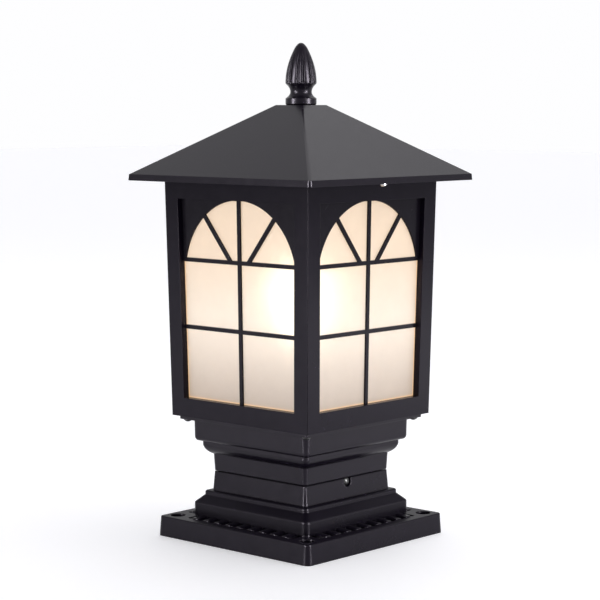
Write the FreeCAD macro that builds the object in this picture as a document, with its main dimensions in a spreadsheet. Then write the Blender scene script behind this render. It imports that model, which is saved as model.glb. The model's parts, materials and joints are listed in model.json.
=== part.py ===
import FreeCAD, Part
import math
import os
import re
import Sketcher

# A post top lantern for a pier or gate post: a cast pedestal, a neck with a tray, a square box
# of four cast frames with glazed windows, and a pyramid roof with a finial.
# Millimetres. +Z is up, the origin is the middle of the pedestal's underside, and the front
# window looks along -Y.

SIZES = {
    # Pedestal casting, from the pier upwards.
    "plate_margin": 24.6,
    "plate_draft": 1.4,
    "plate_thickness": 19.5,
    "plate_corner": 6.0,
    "plate_web": 5.0,
    "anchor_inset": 14.5,
    "plate_round": 1.2,
    "anchor_hole": 15.0,
    "anchor_land": 26.0,
    "foot_height": 13.5,
    "foot_corner": 5.4,
    "foot_round": 2.2,
    "bevel_height": 7.3,
    "bevel_reach": 7.6,
    "step_ledge": 5.8,
    "step_height": 4.3,
    "step_corner": 4.5,
    "step_round": 2.0,
    "block_draft": 1.8,
    "block_top_width": 120.4,
    "block_height": 18.8,
    "block_corner": 3.4,
    "block_wall": 5.2,
    "casting_wall": 5.0,
    # Row of flutes in the top of the plate, between the foot and the plate's edge.
    "flute_count": 10.0,
    "flute_pitch": 14.8,
    "flute_width": 5.4,
    "flute_reach": 13.5,
    "flute_depth": 1.8,
    # How far cuts run past the faces that they open, and what keeps half circles under a half turn.
    "cut_past": 1.0,
    "arc_ease": 0.001,
    # Seam between pedestal and neck, with its two side screws.
    "seam_gap": 1.0,
    "gasket_thickness": 0.7,
    "spigot_clearance": 0.3,
    "spigot_wall": 3.0,
    "spigot_length": 16.0,
    "notch_width": 9.9,
    "notch_depth": 8.5,
    "notch_recess": 2.8,
    # Neck casting.
    "neck_overhang": 0.5,
    "neck_flare": 1.2,
    "neck_height": 16.5,
    "neck_corner": 3.6,
    "cove_height": 8.9,
    "cove_reach": 7.5,
    "cove_swell": 1.4,
    "band_height": 4.0,
    "shoulder_overhang": 5.5,
    "shoulder_flare": 0.5,
    "shoulder_height": 21.8,
    "shoulder_corner": 4.9,
    "shoulder_round": 4.4,
    "tray_overhang": 8.8,
    "tray_thickness": 3.7,
    "tray_corner": 2.0,
    "neck_chamber_wall": 6.9,
    "neck_chamber_depth": 20.3,
    "floor_boss_inset": 5.0,
    "floor_boss_radius": 5.5,
    "floor_boss_height": 16.0,
    "floor_boss_cap": 2.0,
    # Box of four frames that lean outwards.
    "body_overhang": 4.75,
    "body_flare": 4.4,
    "body_height": 231.8,
    "skin": 4.5,
    "mitre_gap": 0.1,
    "foot_ledge_depth": 16.0,
    "top_ledge_depth": 8.0,
    "ledge_thickness": 3.0,
    "corner_screw_inset": 6.0,
    "corner_boss_radius": 5.0,
    "corner_boss_height": 12.0,
    "corner_boss_cap": 1.5,
    "corner_boss_overlap": 0.8,
    # Window in each frame, measured on the leaning face.
    "foot_stile": 16.45,
    "top_stile": 17.35,
    "header_height": 19.6,
    "sill_height": 18.4,
    "window_recess": 5.0,
    "rabbet": 3.5,
    "rim_wall": 2.0,
    "glazing_clearance": 0.3,
    "grille_thickness": 2.0,
    "pane_thickness": 2.5,
    "bar_width": 3.9,
    "pane_row_height": 65.4,
    "spring_rise": 14.1,
    "arch_margin": 3.0,
    "ray_angle": 38.5,
    "clip_place": 50.0,
    "clip_width": 8.0,
    "clip_thickness": 0.8,
    "clip_overlap": 3.0,
    "clip_boss_radius": 3.5,
    "clip_boss_gap": 1.4,
    # Roof, its lugs and its screws.
    "eave_overhang": 25.55,
    "fascia_draft": 0.6,
    "eave_drop": 2.7,
    "fascia_height": 6.0,
    "fascia_wall": 3.0,
    "rim_depth": 4.0,
    "roof_rise": 66.4,
    "roof_corner": 3.0,
    "crown_margin": 2.7,
    "crown_wall": 3.7,
    "skirt_inset": 0.55,
    "skirt_wall": 2.5,
    "skirt_bite": 1.2,
    "roof_gasket_thickness": 1.6,
    "lug_reach": 10.05,
    "lug_width": 12.0,
    "roof_boss_radius": 4.4,
    "roof_boss_bite": 0.4,
    "roof_boss_bore_depth": 7.6,
    "roof_screw_rise": 7.0,
    "moving_gap": 0.3,
    # Finial and what holds it.
    "ring_radius": 15.0,
    "ring_height": 7.3,
    "scotia_height": 13.2,
    "scotia_radius": 7.2,
    "bud_radius": 15.1,
    "bud_height": 39.2,
    "bud_side_radius": 62.5,
    "bud_point_radius": 6.9,
    "bud_point_height": 6.4,
    "bud_tip_round": 15.0,
    "bud_tip_radius": 0.8,
    "rib_count": 14.0,
    "groove_width": 1.6,
    "groove_depth": 1.2,
    "groove_tip_gap": 0.25,
    "stud_radius": 3.0,
    "stud_drop": 14.0,
    "stud_rise": 12.0,
    "stud_gap": 0.5,
    "thread_clearance": 0.1,
    "nut_across_flats": 10.0,
    "nut_height": 5.0,
    "washer_radius": 6.2,
    "washer_thickness": 1.6,
    # Pan head screws: M4 outside, M3 inside.
    "screw_radius": 2.0,
    "screw_head_radius": 4.0,
    "screw_head_height": 3.1,
    "screw_reach": 13.0,
    "seam_screw_past": 1.0,
    "small_screw_radius": 1.5,
    "small_head_radius": 2.75,
    "small_head_height": 2.0,
    "hole_clearance": 0.1,
    # Lamp gear on the chamber floor.
    "floor_thickness": 2.0,
    "floor_clearance": 0.35,
    "bracket_foot": 12.0,
    "bracket_margin": 4.0,
    "bracket_width": 30.0,
    "bracket_height": 17.7,
    "bracket_sheet": 1.5,
    "bracket_screw_past": 3.0,
    "bracket_screw_offset": 6.5,
    "grommet_hole": 8.0,
    "grommet_bore": 5.0,
    "grommet_lip": 2.5,
    "holder_flare": 3.0,
    "ceramic_wall": 4.9,
    "holder_base_height": 8.0,
    "holder_slope_height": 4.0,
    "holder_height": 48.0,
    "holder_recess_radius": 11.0,
    "holder_recess_depth": 8.0,
    "holder_screw_inset": 5.0,
    "socket_radius": 13.6,
    "socket_wall": 0.5,
    "socket_depth": 26.0,
    "socket_lip": 1.0,
    "contact_radius": 4.0,
    "contact_height": 1.7,
    "contact_margin": 1.0,
    # Bulb: a pear-shaped lamp with an E27 cap.
    "cap_clearance": 0.4,
    "cap_height": 25.0,
    "cap_wall": 0.8,
    "cap_dish": 0.8,
    "cap_rise": 2.8,
    "cap_bevel": 1.0,
    "glass_neck_gap": 0.2,
    "globe_radius": 30.0,
    "bulb_length": 108.0,
    "globe_shoulder_angle": 21.4,
    "glass_wall": 1.0,
    "glass_foot_rise": 5.0,
    "glass_flare": 0.8,
    "glass_flare_height": 4.0,
    "glass_flare_ease": 0.3,
    # Wiring that stays inside.
    "terminal_length": 28.0,
    "terminal_depth": 20.0,
    "terminal_height": 16.0,
    "terminal_place": 24.0,
    "terminal_pitch": 7.0,
    "terminal_bore": 1.8,
    "terminal_entry": 6.0,
    "terminal_web": 1.0,
    "terminal_screw_gap": 2.0,
    "lead_radius": 1.1,
    "lead_spread": 2.4,
    "lead_gap": 0.5,
    "lead_straight": 7.0,
    "earth_place": 30.0,
    "earth_bend_place": 21.0,
    "earth_bend_drop": 9.0,
    "earth_screw_past": 4.0,
}

# Sizes that follow others, from the block outwards.
DERIVED = {
    "block_foot_width": "block_top_width + 2 * block_draft",
    "block_bore": "block_top_width - 2 * block_wall",
    "step_width": "block_foot_width + 2 * step_ledge",
    "foot_width": "step_width + 2 * bevel_reach",
    "plate_width": "foot_width + 2 * plate_margin",
    "plate_top_width": "plate_width - 2 * plate_draft",
    "anchor_spacing": "plate_width - 2 * anchor_inset",
    "neck_foot_width": "block_top_width + 2 * neck_overhang",
    "neck_top_width": "neck_foot_width + 2 * neck_flare",
    "band_width": "neck_top_width + 2 * cove_reach",
    "shoulder_foot_width": "band_width + 2 * shoulder_overhang",
    "shoulder_top_width": "shoulder_foot_width + 2 * shoulder_flare",
    "neck_chamber_width": "shoulder_foot_width - 2 * neck_chamber_wall",
    "floor_boss_place": "neck_chamber_width / 2 - floor_boss_inset",
    "tray_width": "shoulder_top_width + 2 * tray_overhang",
    "corner_screw_place": "tray_width / 2 - corner_screw_inset",
    "body_foot_width": "tray_width + 2 * body_overhang",
    "body_top_width": "body_foot_width + 2 * body_flare",
    "window_foot_width": "body_foot_width - 2 * foot_stile",
    "window_top_width": "body_top_width - 2 * top_stile",
    "window_height": "body_height - sill_height - header_height",
    "arch_radius": "window_top_width / 2 - arch_margin",
    "roof_width": "body_top_width + 2 * eave_overhang",
    "roof_top_width": "roof_width - 2 * fascia_draft",
    "skirt_width": "body_top_width - 2 * skirt_inset",
    "roof_screw_place": "body_top_width / 2 + lug_reach",
    "crown_width": "2 * ring_radius + 2 * crown_margin",
    "holder_rim_radius": "socket_radius + socket_wall + ceramic_wall",
    "holder_radius": "holder_rim_radius + holder_flare",
    "holder_screw_place": "holder_recess_radius + holder_screw_inset",
    "bracket_top_length": "2 * holder_radius + 2 * bracket_margin",
    "bracket_length": "bracket_top_length + 2 * bracket_foot",
    "bracket_screw_place": "bracket_top_length / 2 + bracket_screw_offset",
    "cap_radius": "socket_radius - cap_clearance",
    "glass_neck_radius": "cap_radius - cap_wall - glass_neck_gap",
}
NAMES = {**SIZES, **DERIVED}

# Shares of a pan head's height and of a shank's radius.
HEAD_EDGE = 0.35
SHANK_CHAMFER = 0.25
# Share of the shorter run that a lead's bend takes at a corner.
BEND_SHARE = 0.45
# Sections that a swelling tier is lofted through, after its first.
SWELL_STEPS = 4

WINDOWS = {"front": 0, "right": 90, "back": 180, "left": 270}
LUGGED = ("right", "left")
CORNERS = ((1, 1), (-1, 1), (-1, -1), (1, -1))
UP = FreeCAD.Vector(0, 0, 1)
ACROSS = FreeCAD.Vector(1, 0, 0)

doc = FreeCAD.newDocument("post_top_lantern")
sheet = doc.addObject("Spreadsheet::Sheet", "Sizes")
for row, (alias, size) in enumerate(NAMES.items(), start=1):
    sheet.set(f"A{row}", alias)
    sheet.set(f"B{row}", f"={size}")
    sheet.setAlias(f"B{row}", alias)
doc.recompute()


def formula(text):
    """Turn size names in a formula into references to their cells."""

    def cell(word):
        name = word.group()
        return f"Sizes.{name}" if name in NAMES else name

    return re.sub(r"[a-z][a-z_]*", cell, str(text))


def number(text):
    """The value of a formula now."""
    result = sheet.evalExpression(formula(text))
    return float(getattr(result, "Value", result))


def total(*parts):
    """A formula that adds the parts up."""
    return "(" + " + ".join(f"({part})" for part in parts) + ")"


def half(name):
    """Half of a width."""
    return f"({name}) / 2"


# Levels, each stacked on the one before.
FOOT = "plate_thickness"
BEVEL = total(FOOT, "foot_height")
STEP = total(BEVEL, "bevel_height")
BLOCK = total(STEP, "step_height")
SEAM = total(BLOCK, "block_height")
NECK = total(SEAM, "seam_gap")
COVE = total(NECK, "neck_height")
BAND = total(COVE, "cove_height")
SHOULDER = total(BAND, "band_height")
TRAY = total(SHOULDER, "shoulder_height")
BODY = total(TRAY, "tray_thickness")
BODY_TOP = total(BODY, "body_height")
EAVE = total(BODY_TOP, "-eave_drop")
SLOPE = total(EAVE, "fascia_height")
CROWN = total(SLOPE, "roof_rise")
CROWN_UNDERSIDE = total(CROWN, "-crown_wall")
ROOF_SEAT = total(BODY_TOP, "moving_gap")
FLOOR_TOP = total(BODY, "floor_thickness")
HOLDER = total(FLOOR_TOP, "bracket_height")
SOCKET_FLOOR = total(HOLDER, "holder_height", "-socket_depth")
CAP = total(SOCKET_FLOOR, "contact_height", "moving_gap")
BULB_TOP = total(CAP, "bulb_length")

# Places that several pieces share.
NOTCH = total(SEAM, "-notch_depth", "notch_width / 2")
NOTCH_FLOOR = f"({half('block_top_width')} - notch_recess)"
SPIGOT = f"({half('block_bore')} - spigot_clearance)"
SPIGOT_BORE = f"({SPIGOT} - spigot_wall)"
LEAN = f"atan(({half('body_top_width')} - {half('body_foot_width')}) / body_height)"
GRILLE_DEPTH = "window_recess"
PANE_DEPTH = total("window_recess", "grille_thickness")
RIM_DEPTH = total(PANE_DEPTH, "pane_thickness")
WINDOW_TOP = total("sill_height", "window_height")
ARCH_CENTRE = f"({WINDOW_TOP} - arch_radius)"
UPPER_BAR = total(ARCH_CENTRE, "spring_rise")
LOWER_BAR = total(UPPER_BAR, "-pane_row_height")
CLIP_LOW = "(sill_height - rabbet - rim_wall - clip_boss_gap - clip_boss_radius)"
CLIP_HIGH = f"({WINDOW_TOP} + rabbet + rim_wall + clip_boss_gap + clip_boss_radius)"
HOLE = "(screw_radius + hole_clearance)"
SMALL_HOLE = "(small_screw_radius + hole_clearance)"


def new_body(name, turn=0):
    """A body with its own name, turned about the lantern's axis."""
    body = doc.addObject("PartDesign::Body", name)
    body.Label = name
    body.Placement = FreeCAD.Placement(FreeCAD.Vector(), FreeCAD.Rotation(UP, turn))
    return body


def origin_plane(body, role):
    return next(item for item in body.Origin.OriginFeatures if item.Role == role)


def new_sketch(body, name, role="XY_Plane", shift=("0", "0", "0"), spin=0, axis=UP, angle=None):
    """A sketch on an origin plane, moved by the formulas in shift and turned by spin degrees."""
    sketch = body.newObject("Sketcher::SketchObject", f"{body.Name}_{name}")
    sketch.AttachmentSupport = [(origin_plane(body, role), "")]
    sketch.MapMode = "FlatFace"
    place = FreeCAD.Vector(*[number(text) for text in shift])
    turn = number(angle) if angle else spin
    sketch.AttachmentOffset = FreeCAD.Placement(place, FreeCAD.Rotation(axis, turn))
    for letter, text in zip("xyz", shift):
        if text != "0":
            sketch.setExpression(f".AttachmentOffset.Base.{letter}", formula(text))
    if angle:
        sketch.setExpression(".AttachmentOffset.Rotation.Angle", formula(angle))
    return sketch


def leaning_sketch(body, name, depth="0"):
    """A sketch parallel to the front frame's leaning face, some depth behind it.

    Its origin is above the middle of the face's lower edge and its normal points outwards.
    """
    rise = f"({BODY} + ({depth}) * sin({LEAN}))"
    out = f"({half('body_foot_width')} - ({depth}) * cos({LEAN}))"
    return new_sketch(body, name, "XZ_Plane", ("0", rise, out), axis=ACROSS, angle=LEAN)


def hold(sketch, kind, geometry, point, text):
    """Hold one coordinate of a point at a formula."""
    value = number(text)
    index = sketch.addConstraint(Sketcher.Constraint(kind, -1, 1, geometry, point, value))
    sketch.setExpression(f"Constraints[{index}]", formula(text))


def hold_radius(sketch, geometry, text):
    index = sketch.addConstraint(Sketcher.Constraint("Radius", geometry, abs(number(text))))
    sketch.setExpression(f"Constraints[{index}]", formula(text))


def draw_circle(sketch, x, y, radius):
    centre = FreeCAD.Vector(number(x), number(y), 0)
    circle = sketch.addGeometry(Part.Circle(centre, UP, number(radius)))
    hold(sketch, "DistanceX", circle, 3, x)
    hold(sketch, "DistanceY", circle, 3, y)
    hold_radius(sketch, circle, radius)


def draw_outline(sketch, points):
    """Draw a closed outline through the points.

    A point is a pair of formulas. A third one is the radius of the arc that leads from it to the
    next point, and a fourth says whether that arc bulges to the right or left of the way round.
    """
    places = [FreeCAD.Vector(number(point[0]), number(point[1]), 0) for point in points]
    edges = []
    for index, point in enumerate(points):
        start = places[index]
        end = places[(index + 1) % len(points)]
        if len(point) == 2:
            edge = sketch.addGeometry(Part.LineSegment(start, end))
            edges.append((edge, 1, 2))
            continue
        chord = end - start
        radius = number(point[2])
        rise = radius - math.sqrt(radius**2 - (chord.Length / 2) ** 2)
        outwards = FreeCAD.Vector(chord.y, -chord.x, 0).normalize()
        if point[3] == "left":
            outwards = outwards * -1
        through = (start + end) / 2 + outwards * rise
        edge = sketch.addGeometry(Part.Arc(start, through, end))
        forwards = sketch.getPoint(edge, 1).distanceToPoint(start) < 1e-6
        edges.append((edge, 1, 2) if forwards else (edge, 2, 1))
        hold_radius(sketch, edge, point[2])
    for index, point in enumerate(points):
        edge, first, last = edges[index]
        following, its_first, _ = edges[(index + 1) % len(points)]
        sketch.addConstraint(Sketcher.Constraint("Coincident", edge, last, following, its_first))
        hold(sketch, "DistanceX", edge, first, point[0])
        hold(sketch, "DistanceY", edge, first, point[1])


def draw_square(sketch, width, corner):
    """Draw a centred square with rounded corners."""
    reach = number(f"{half(width)} - ({corner})")
    radius = number(corner)
    corners = [(1, 1), (-1, 1), (-1, -1), (1, -1)]
    arcs = []
    for index, (right, back) in enumerate(corners):
        centre = FreeCAD.Vector(right * reach, back * reach, 0)
        start = math.pi / 2 * index
        arc = Part.ArcOfCircle(Part.Circle(centre, UP, radius), start, start + math.pi / 2)
        arcs.append(sketch.addGeometry(arc))
    for index, arc in enumerate(arcs):
        following = arcs[(index + 1) % 4]
        start = sketch.getPoint(arc, 2)
        end = sketch.getPoint(following, 1)
        line = sketch.addGeometry(Part.LineSegment(start, end))
        sketch.addConstraint(Sketcher.Constraint("Tangent", arc, 2, line, 1))
        sketch.addConstraint(Sketcher.Constraint("Tangent", line, 2, following, 1))
    for arc, (right, back) in zip(arcs, corners):
        hold(sketch, "DistanceX", arc, 3, f"{right} * ({half(width)} - ({corner}))")
        hold(sketch, "DistanceY", arc, 3, f"{back} * ({half(width)} - ({corner}))")
        if arc != arcs[0]:
            sketch.addConstraint(Sketcher.Constraint("Equal", arcs[0], arc))
    hold_radius(sketch, arcs[0], corner)


def half_circle(width):
    """The radius of a half circle as wide as that, kept just under a half turn."""
    return f"({width}) / 2 + arc_ease"


def square_sketch(body, name, width, corner, level):
    sketch = new_sketch(body, name, shift=("0", "0", level))
    draw_square(sketch, width, corner)
    return sketch


def extrude(body, kind, sketch, length, taper=None, reverse=False):
    """Pad or pocket a sketch and make it the body's tip."""
    feature = body.newObject(f"PartDesign::{kind}", f"{sketch.Name}_{kind}")
    feature.Profile = sketch
    feature.Reversed = reverse
    feature.setExpression("Length", formula(length))
    if taper:
        feature.setExpression("TaperAngle", formula(taper))
    sketch.Visibility = False
    body.Tip = feature
    doc.recompute()
    return feature


def pad(body, sketch, length, taper=None, reverse=False):
    before = body.Shape.Volume if body.Shape.Solids else 0.0
    feature = extrude(body, "Pad", sketch, length, taper, reverse)
    if body.Shape.Volume <= before:
        raise RuntimeError(f"{feature.Name} added nothing")
    return feature


def pocket(body, sketch, length, reverse=False):
    before = body.Shape.Volume
    feature = extrude(body, "Pocket", sketch, length, None, reverse)
    if body.Shape.Volume >= before:
        raise RuntimeError(f"{feature.Name} cut nothing")
    return feature


def revolve(body, sketch):
    """Turn a profile about its sketch's own upright axis."""
    feature = body.newObject("PartDesign::Revolution", f"{sketch.Name}_turned")
    feature.Profile = sketch
    feature.ReferenceAxis = (sketch, ["V_Axis"])
    feature.Angle = 360
    sketch.Visibility = False
    body.Tip = feature
    doc.recompute()
    return feature


def ring(body, features, count):
    """Repeat features about the body's upright axis."""
    pattern = body.newObject("PartDesign::PolarPattern", f"{body.Name}_ring")
    pattern.Originals = features
    pattern.Axis = (origin_plane(body, "Z_Axis"), [""])
    pattern.Angle = 360
    pattern.setExpression("Occurrences", formula(count))
    body.Tip = pattern
    doc.recompute()
    return pattern


def tier(body, name, low_width, high_width, corner, level, height):
    """One tier of a casting: a square with rounded corners that widens or narrows upwards."""
    sketch = square_sketch(body, name, low_width, corner, level)
    taper = f"atan((({high_width}) - ({low_width})) / 2 / ({height}))"
    return pad(body, sketch, height, taper if low_width != high_width else None)


def loft(body, kind, low, high):
    """Join two sketches with straight sides, adding or removing."""
    feature = body.newObject(f"PartDesign::{kind}Loft", f"{low.Name}_loft")
    feature.Profile = low
    feature.Sections = [high]
    feature.Ruled = True
    low.Visibility = False
    high.Visibility = False
    body.Tip = feature
    doc.recompute()
    return feature


def slope_tier(body, name, low, high, level, height):
    """A steep tier between two squares, each given as a width and a corner radius."""
    foot = square_sketch(body, f"{name}_foot", low[0], low[1], level)
    top = square_sketch(body, f"{name}_top", high[0], high[1], total(level, height))
    return loft(body, "Additive", foot, top)


def swelling_tier(body, name, low, high, level, height, swell):
    """A steep tier whose sides swell out between two squares."""
    reach = f"(({high[0]}) - ({low[0]})) / 2"
    slant = f"sqrt(({reach})^2 + ({height})^2)"
    sections = []
    for step in range(SWELL_STEPS + 1):
        share = step / SWELL_STEPS
        bulge = f"4 * {share * (1 - share)} * ({swell}) / ({slant})"
        out = f"({low[0]}) / 2 + {share} * ({reach}) + {bulge} * ({height})"
        rise = f"{share} * ({height}) - {bulge} * ({reach})"
        corner = f"{1 - share} * ({low[1]}) + {share} * ({high[1]})"
        sections.append(square_sketch(body, f"{name}_{step}", f"2 * ({out})", corner, total(level, rise)))
    feature = loft(body, "Additive", sections[0], sections[-1])
    feature.Sections = sections[1:]
    feature.Ruled = False
    for sketch in sections:
        sketch.Visibility = False
    doc.recompute()
    return feature


def round_edges(body, name, level, reach, radius):
    """Round the edges that lie flat at a level and reach out past a distance."""
    height = number(level)
    edges = []
    for index, edge in enumerate(body.Shape.Edges, start=1):
        box = edge.BoundBox
        flat = abs(box.ZMin - height) < 0.01 and abs(box.ZMax - height) < 0.01
        outside = max(abs(box.XMin), abs(box.XMax), abs(box.YMin), abs(box.YMax))
        if flat and outside > number(reach):
            edges.append(f"Edge{index}")
    base = body.Tip
    rounding = body.newObject("PartDesign::Fillet", name)
    rounding.Base = (base, edges)
    rounding.setExpression("Radius", formula(radius))
    body.Tip = rounding
    doc.recompute()
    return rounding


def screw_profile(sketch, radius, head_radius, head_height, length):
    """Half of a pan head screw: the head's underside is at 0 and the shank points down."""
    edge = f"{head_height} * {HEAD_EDGE}"
    dome = f"({head_height} * {1 - HEAD_EDGE})"
    crown = f"({head_radius}^2 + {dome}^2) / (2 * {dome})"
    chamfer = f"{radius} * {SHANK_CHAMFER}"
    draw_outline(sketch, [
        ("0", head_height),
        ("0", f"-({length})"),
        (f"({radius}) - {chamfer}", f"-({length})"),
        (radius, f"-({length}) + {chamfer}"),
        (radius, "0"),
        (head_radius, "0"),
        (head_radius, edge, crown, "right"),
    ])


def screw_ring(name, count, radial, level, length, spin=0, turn=0, small=False):
    """Identical screws in a ring; spin turns each from head up (180 is head down)."""
    body = new_body(name, turn)
    sketch = new_sketch(body, "profile", "XZ_Plane", (radial, level, "0"), spin=spin)
    if small:
        screw_profile(sketch, "small_screw_radius", "small_head_radius", "small_head_height", length)
    else:
        screw_profile(sketch, "screw_radius", "screw_head_radius", "screw_head_height", length)
    screw = revolve(body, sketch)
    if count > 1:
        ring(body, [screw], count)
    return body


# ---- Pedestal -------------------------------------------------------------------------------

def flute_slots(body):
    """Cut a row of round-ended flutes into the plate's top and repeat it on the four sides."""
    first = "-(flute_count - 1) / 2 * flute_pitch"
    inner = f"-({half('foot_width')} - flute_width / 2)"
    outer = f"-({half('foot_width')} + flute_reach - flute_width / 2)"
    sketch = new_sketch(body, "flute", shift=("0", "0", FOOT))
    draw_outline(sketch, [
        (f"{first} - flute_width / 2", outer, half_circle("flute_width"), "right"),
        (f"{first} + flute_width / 2", outer),
        (f"{first} + flute_width / 2", inner),
        (f"{first} - flute_width / 2", inner),
    ])
    slot = pocket(body, sketch, "flute_depth")
    row = doc.addObject("PartDesign::LinearPattern", "flute_row")
    row.Direction = (origin_plane(body, "X_Axis"), [""])
    row.setExpression("Length", formula("(flute_count - 1) * flute_pitch"))
    row.setExpression("Occurrences", formula("flute_count"))
    sides = doc.addObject("PartDesign::PolarPattern", "flute_sides")
    sides.Axis = (origin_plane(body, "Z_Axis"), [""])
    sides.Angle = 360
    sides.Occurrences = 4
    flutes = body.newObject("PartDesign::MultiTransform", "flutes")
    flutes.Originals = [slot]
    flutes.Transformations = [row, sides]
    body.Tip = flutes
    doc.recompute()


def seam_notches(body):
    """Cut the U notches for the side screws: a recess for the head, then a slot for the shank."""
    past_seam = f"{SEAM} + notch_width"
    shank_slot = "2 * screw_radius + 2 * spigot_clearance"
    for name, width, start, length in (
        ("recess", "notch_width", NOTCH_FLOOR, half("plate_width")),
        ("slot", shank_slot, f"{half('block_bore')} - cut_past", "2 * block_wall"),
    ):
        sketch = new_sketch(body, f"notch_{name}", "YZ_Plane", ("0", "0", start))
        edge = f"({width}) / 2"
        draw_outline(sketch, [
            (f"-({edge})", NOTCH, half_circle(width), "right"),
            (edge, NOTCH),
            (edge, past_seam),
            (f"-({edge})", past_seam),
        ])
        cut = pocket(body, sketch, length, reverse=True)
        ring(body, [cut], 2)


def pedestal_base():
    body = new_body("pedestal_base")
    tier(body, "plate", "plate_width", "plate_top_width", "plate_corner", "0", "plate_thickness")
    round_edges(body, "plate_rounding", FOOT, half("foot_width"), "plate_round")
    tier(body, "foot", "foot_width", "foot_width", "foot_corner", FOOT, "foot_height")
    slope_tier(body, "bevel", ("foot_width", "foot_corner"), ("step_width", "step_corner"), BEVEL,
               "bevel_height")
    tier(body, "step", "step_width", "step_width", "step_corner", STEP, "step_height")
    round_edges(body, "foot_rounding", BEVEL, f"{half('foot_width')} - bevel_reach / 2", "foot_round")
    round_edges(body, "step_rounding", BLOCK, f"{half('step_width')} - step_ledge / 2", "step_round")
    tier(body, "block", "block_foot_width", "block_top_width", "block_corner", BLOCK, "block_height")
    foot_bore = square_sketch(body, "foot_bore", "foot_width - 2 * casting_wall", "foot_corner", "0")
    pocket(body, foot_bore, f"{BEVEL} - casting_wall / 2", reverse=True)
    through = square_sketch(body, "block_bore", "block_bore", "block_corner", "0")
    pocket(body, through, f"{SEAM} + cut_past", reverse=True)
    anchors = new_sketch(body, "anchor_holes")
    for right, back in CORNERS:
        across = f"{right} * anchor_spacing / 2"
        along = f"{back} * anchor_spacing / 2"
        draw_circle(anchors, across, along, half("anchor_hole"))
    pocket(body, anchors, "plate_thickness + cut_past", reverse=True)
    # Hollows under the plate between the corner lands.
    edge = f"({half('plate_top_width')} - casting_wall)"
    inner = half("foot_width")
    reach = "(anchor_spacing / 2 - anchor_land / 2)"
    hollow = new_sketch(body, "underside_hollow")
    draw_outline(hollow, [
        (f"-{reach}", f"-{edge}"),
        (reach, f"-{edge}"),
        (reach, f"-({inner})"),
        (f"-{reach}", f"-({inner})"),
    ])
    side = pocket(body, hollow, "plate_thickness - plate_web", reverse=True)
    ring(body, [side], 4)
    flute_slots(body)
    seam_notches(body)
    return body


# ---- Neck -----------------------------------------------------------------------------------

def neck_casting():
    body = new_body("neck_casting")
    tier(body, "neck", "neck_foot_width", "neck_top_width", "neck_corner", NECK, "neck_height")
    swelling_tier(body, "cove", ("neck_top_width", "neck_corner"), ("band_width", "shoulder_corner"), COVE,
                  "cove_height", "cove_swell")
    tier(body, "band", "band_width", "band_width", "shoulder_corner", BAND, "band_height")
    tier(body, "shoulder", "shoulder_foot_width", "shoulder_top_width", "shoulder_corner", SHOULDER,
         "shoulder_height")
    spigot = square_sketch(body, "spigot", f"2 * {SPIGOT}", "block_corner", NECK)
    pad(body, spigot, "spigot_length", reverse=True)
    round_edges(body, "shoulder_rounding", SHOULDER, f"{half('band_width')} + shoulder_overhang / 2",
                "min(shoulder_round; shoulder_height / 2)")
    tier(body, "tray", "tray_width", "tray_width", "tray_corner", TRAY, "tray_thickness")
    chamber = square_sketch(body, "chamber", "neck_chamber_width", "shoulder_corner", BODY)
    pocket(body, chamber, "neck_chamber_depth")
    bore = square_sketch(body, "bore", f"2 * {SPIGOT_BORE}", "neck_corner", BODY)
    pocket(body, bore, f"{BODY} - {NECK} + spigot_length + cut_past")
    bosses = new_sketch(body, "floor_bosses", shift=("0", "0", BODY))
    corner_holes = new_sketch(body, "corner_holes", shift=("0", "0", BODY))
    boss_holes = new_sketch(body, "boss_holes", shift=("0", "0", BODY))
    for right, back in CORNERS:
        boss_place = (f"{right} * floor_boss_place", f"{back} * floor_boss_place")
        draw_circle(bosses, *boss_place, "floor_boss_radius")
        draw_circle(boss_holes, *boss_place, HOLE)
        draw_circle(corner_holes, f"{right} * corner_screw_place", f"{back} * corner_screw_place", HOLE)
    pad(body, bosses, "floor_boss_height", reverse=True)
    pocket(body, boss_holes, "floor_boss_height - floor_boss_cap")
    pocket(body, corner_holes, "tray_thickness + cut_past")
    side_holes = new_sketch(body, "side_screw_holes", "YZ_Plane", ("0", "0", f"{SPIGOT} + cut_past"))
    draw_circle(side_holes, "0", NOTCH, HOLE)
    hole = pocket(body, side_holes, "spigot_wall + 2 * cut_past")
    ring(body, [hole], 2)
    return body


def neck_gasket():
    """A square rubber ring under the neck, round its spigot."""
    body = new_body("neck_gasket")
    level = f"{NECK} - gasket_thickness"
    sketch = square_sketch(body, "outside", f"2 * {NOTCH_FLOOR}", "block_corner", level)
    draw_square(sketch, f"2 * {SPIGOT} + 2 * hole_clearance", "block_corner")
    pad(body, sketch, "gasket_thickness")
    return body


# ---- Frames, grilles and glass ----------------------------------------------------------------

def window_half(height):
    """Half of the window's width at a height on the face."""
    spread = "(window_top_width - window_foot_width) / 2"
    return f"(window_foot_width / 2 + {spread} * (({height}) - sill_height) / window_height)"


def window_points(margin, top=None):
    """The window's outline, let out by a margin."""
    low = f"(sill_height - ({margin}))"
    high = top or f"({WINDOW_TOP} + ({margin}))"
    return [
        (f"-({window_half(low)} + ({margin}))", low),
        (f"{window_half(low)} + ({margin})", low),
        (f"{window_half(high)} + ({margin})", high),
        (f"-({window_half(high)} + ({margin}))", high),
    ]


def mitred_strip(outer, inner):
    """A strip along the front with its ends cut at the corners' diagonals."""
    return [
        (f"-({outer} - mitre_gap)", f"-({outer})"),
        (f"{outer} - mitre_gap", f"-({outer})"),
        (f"{inner} - mitre_gap", f"-({inner})"),
        (f"-({inner} - mitre_gap)", f"-({inner})"),
    ]


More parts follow.
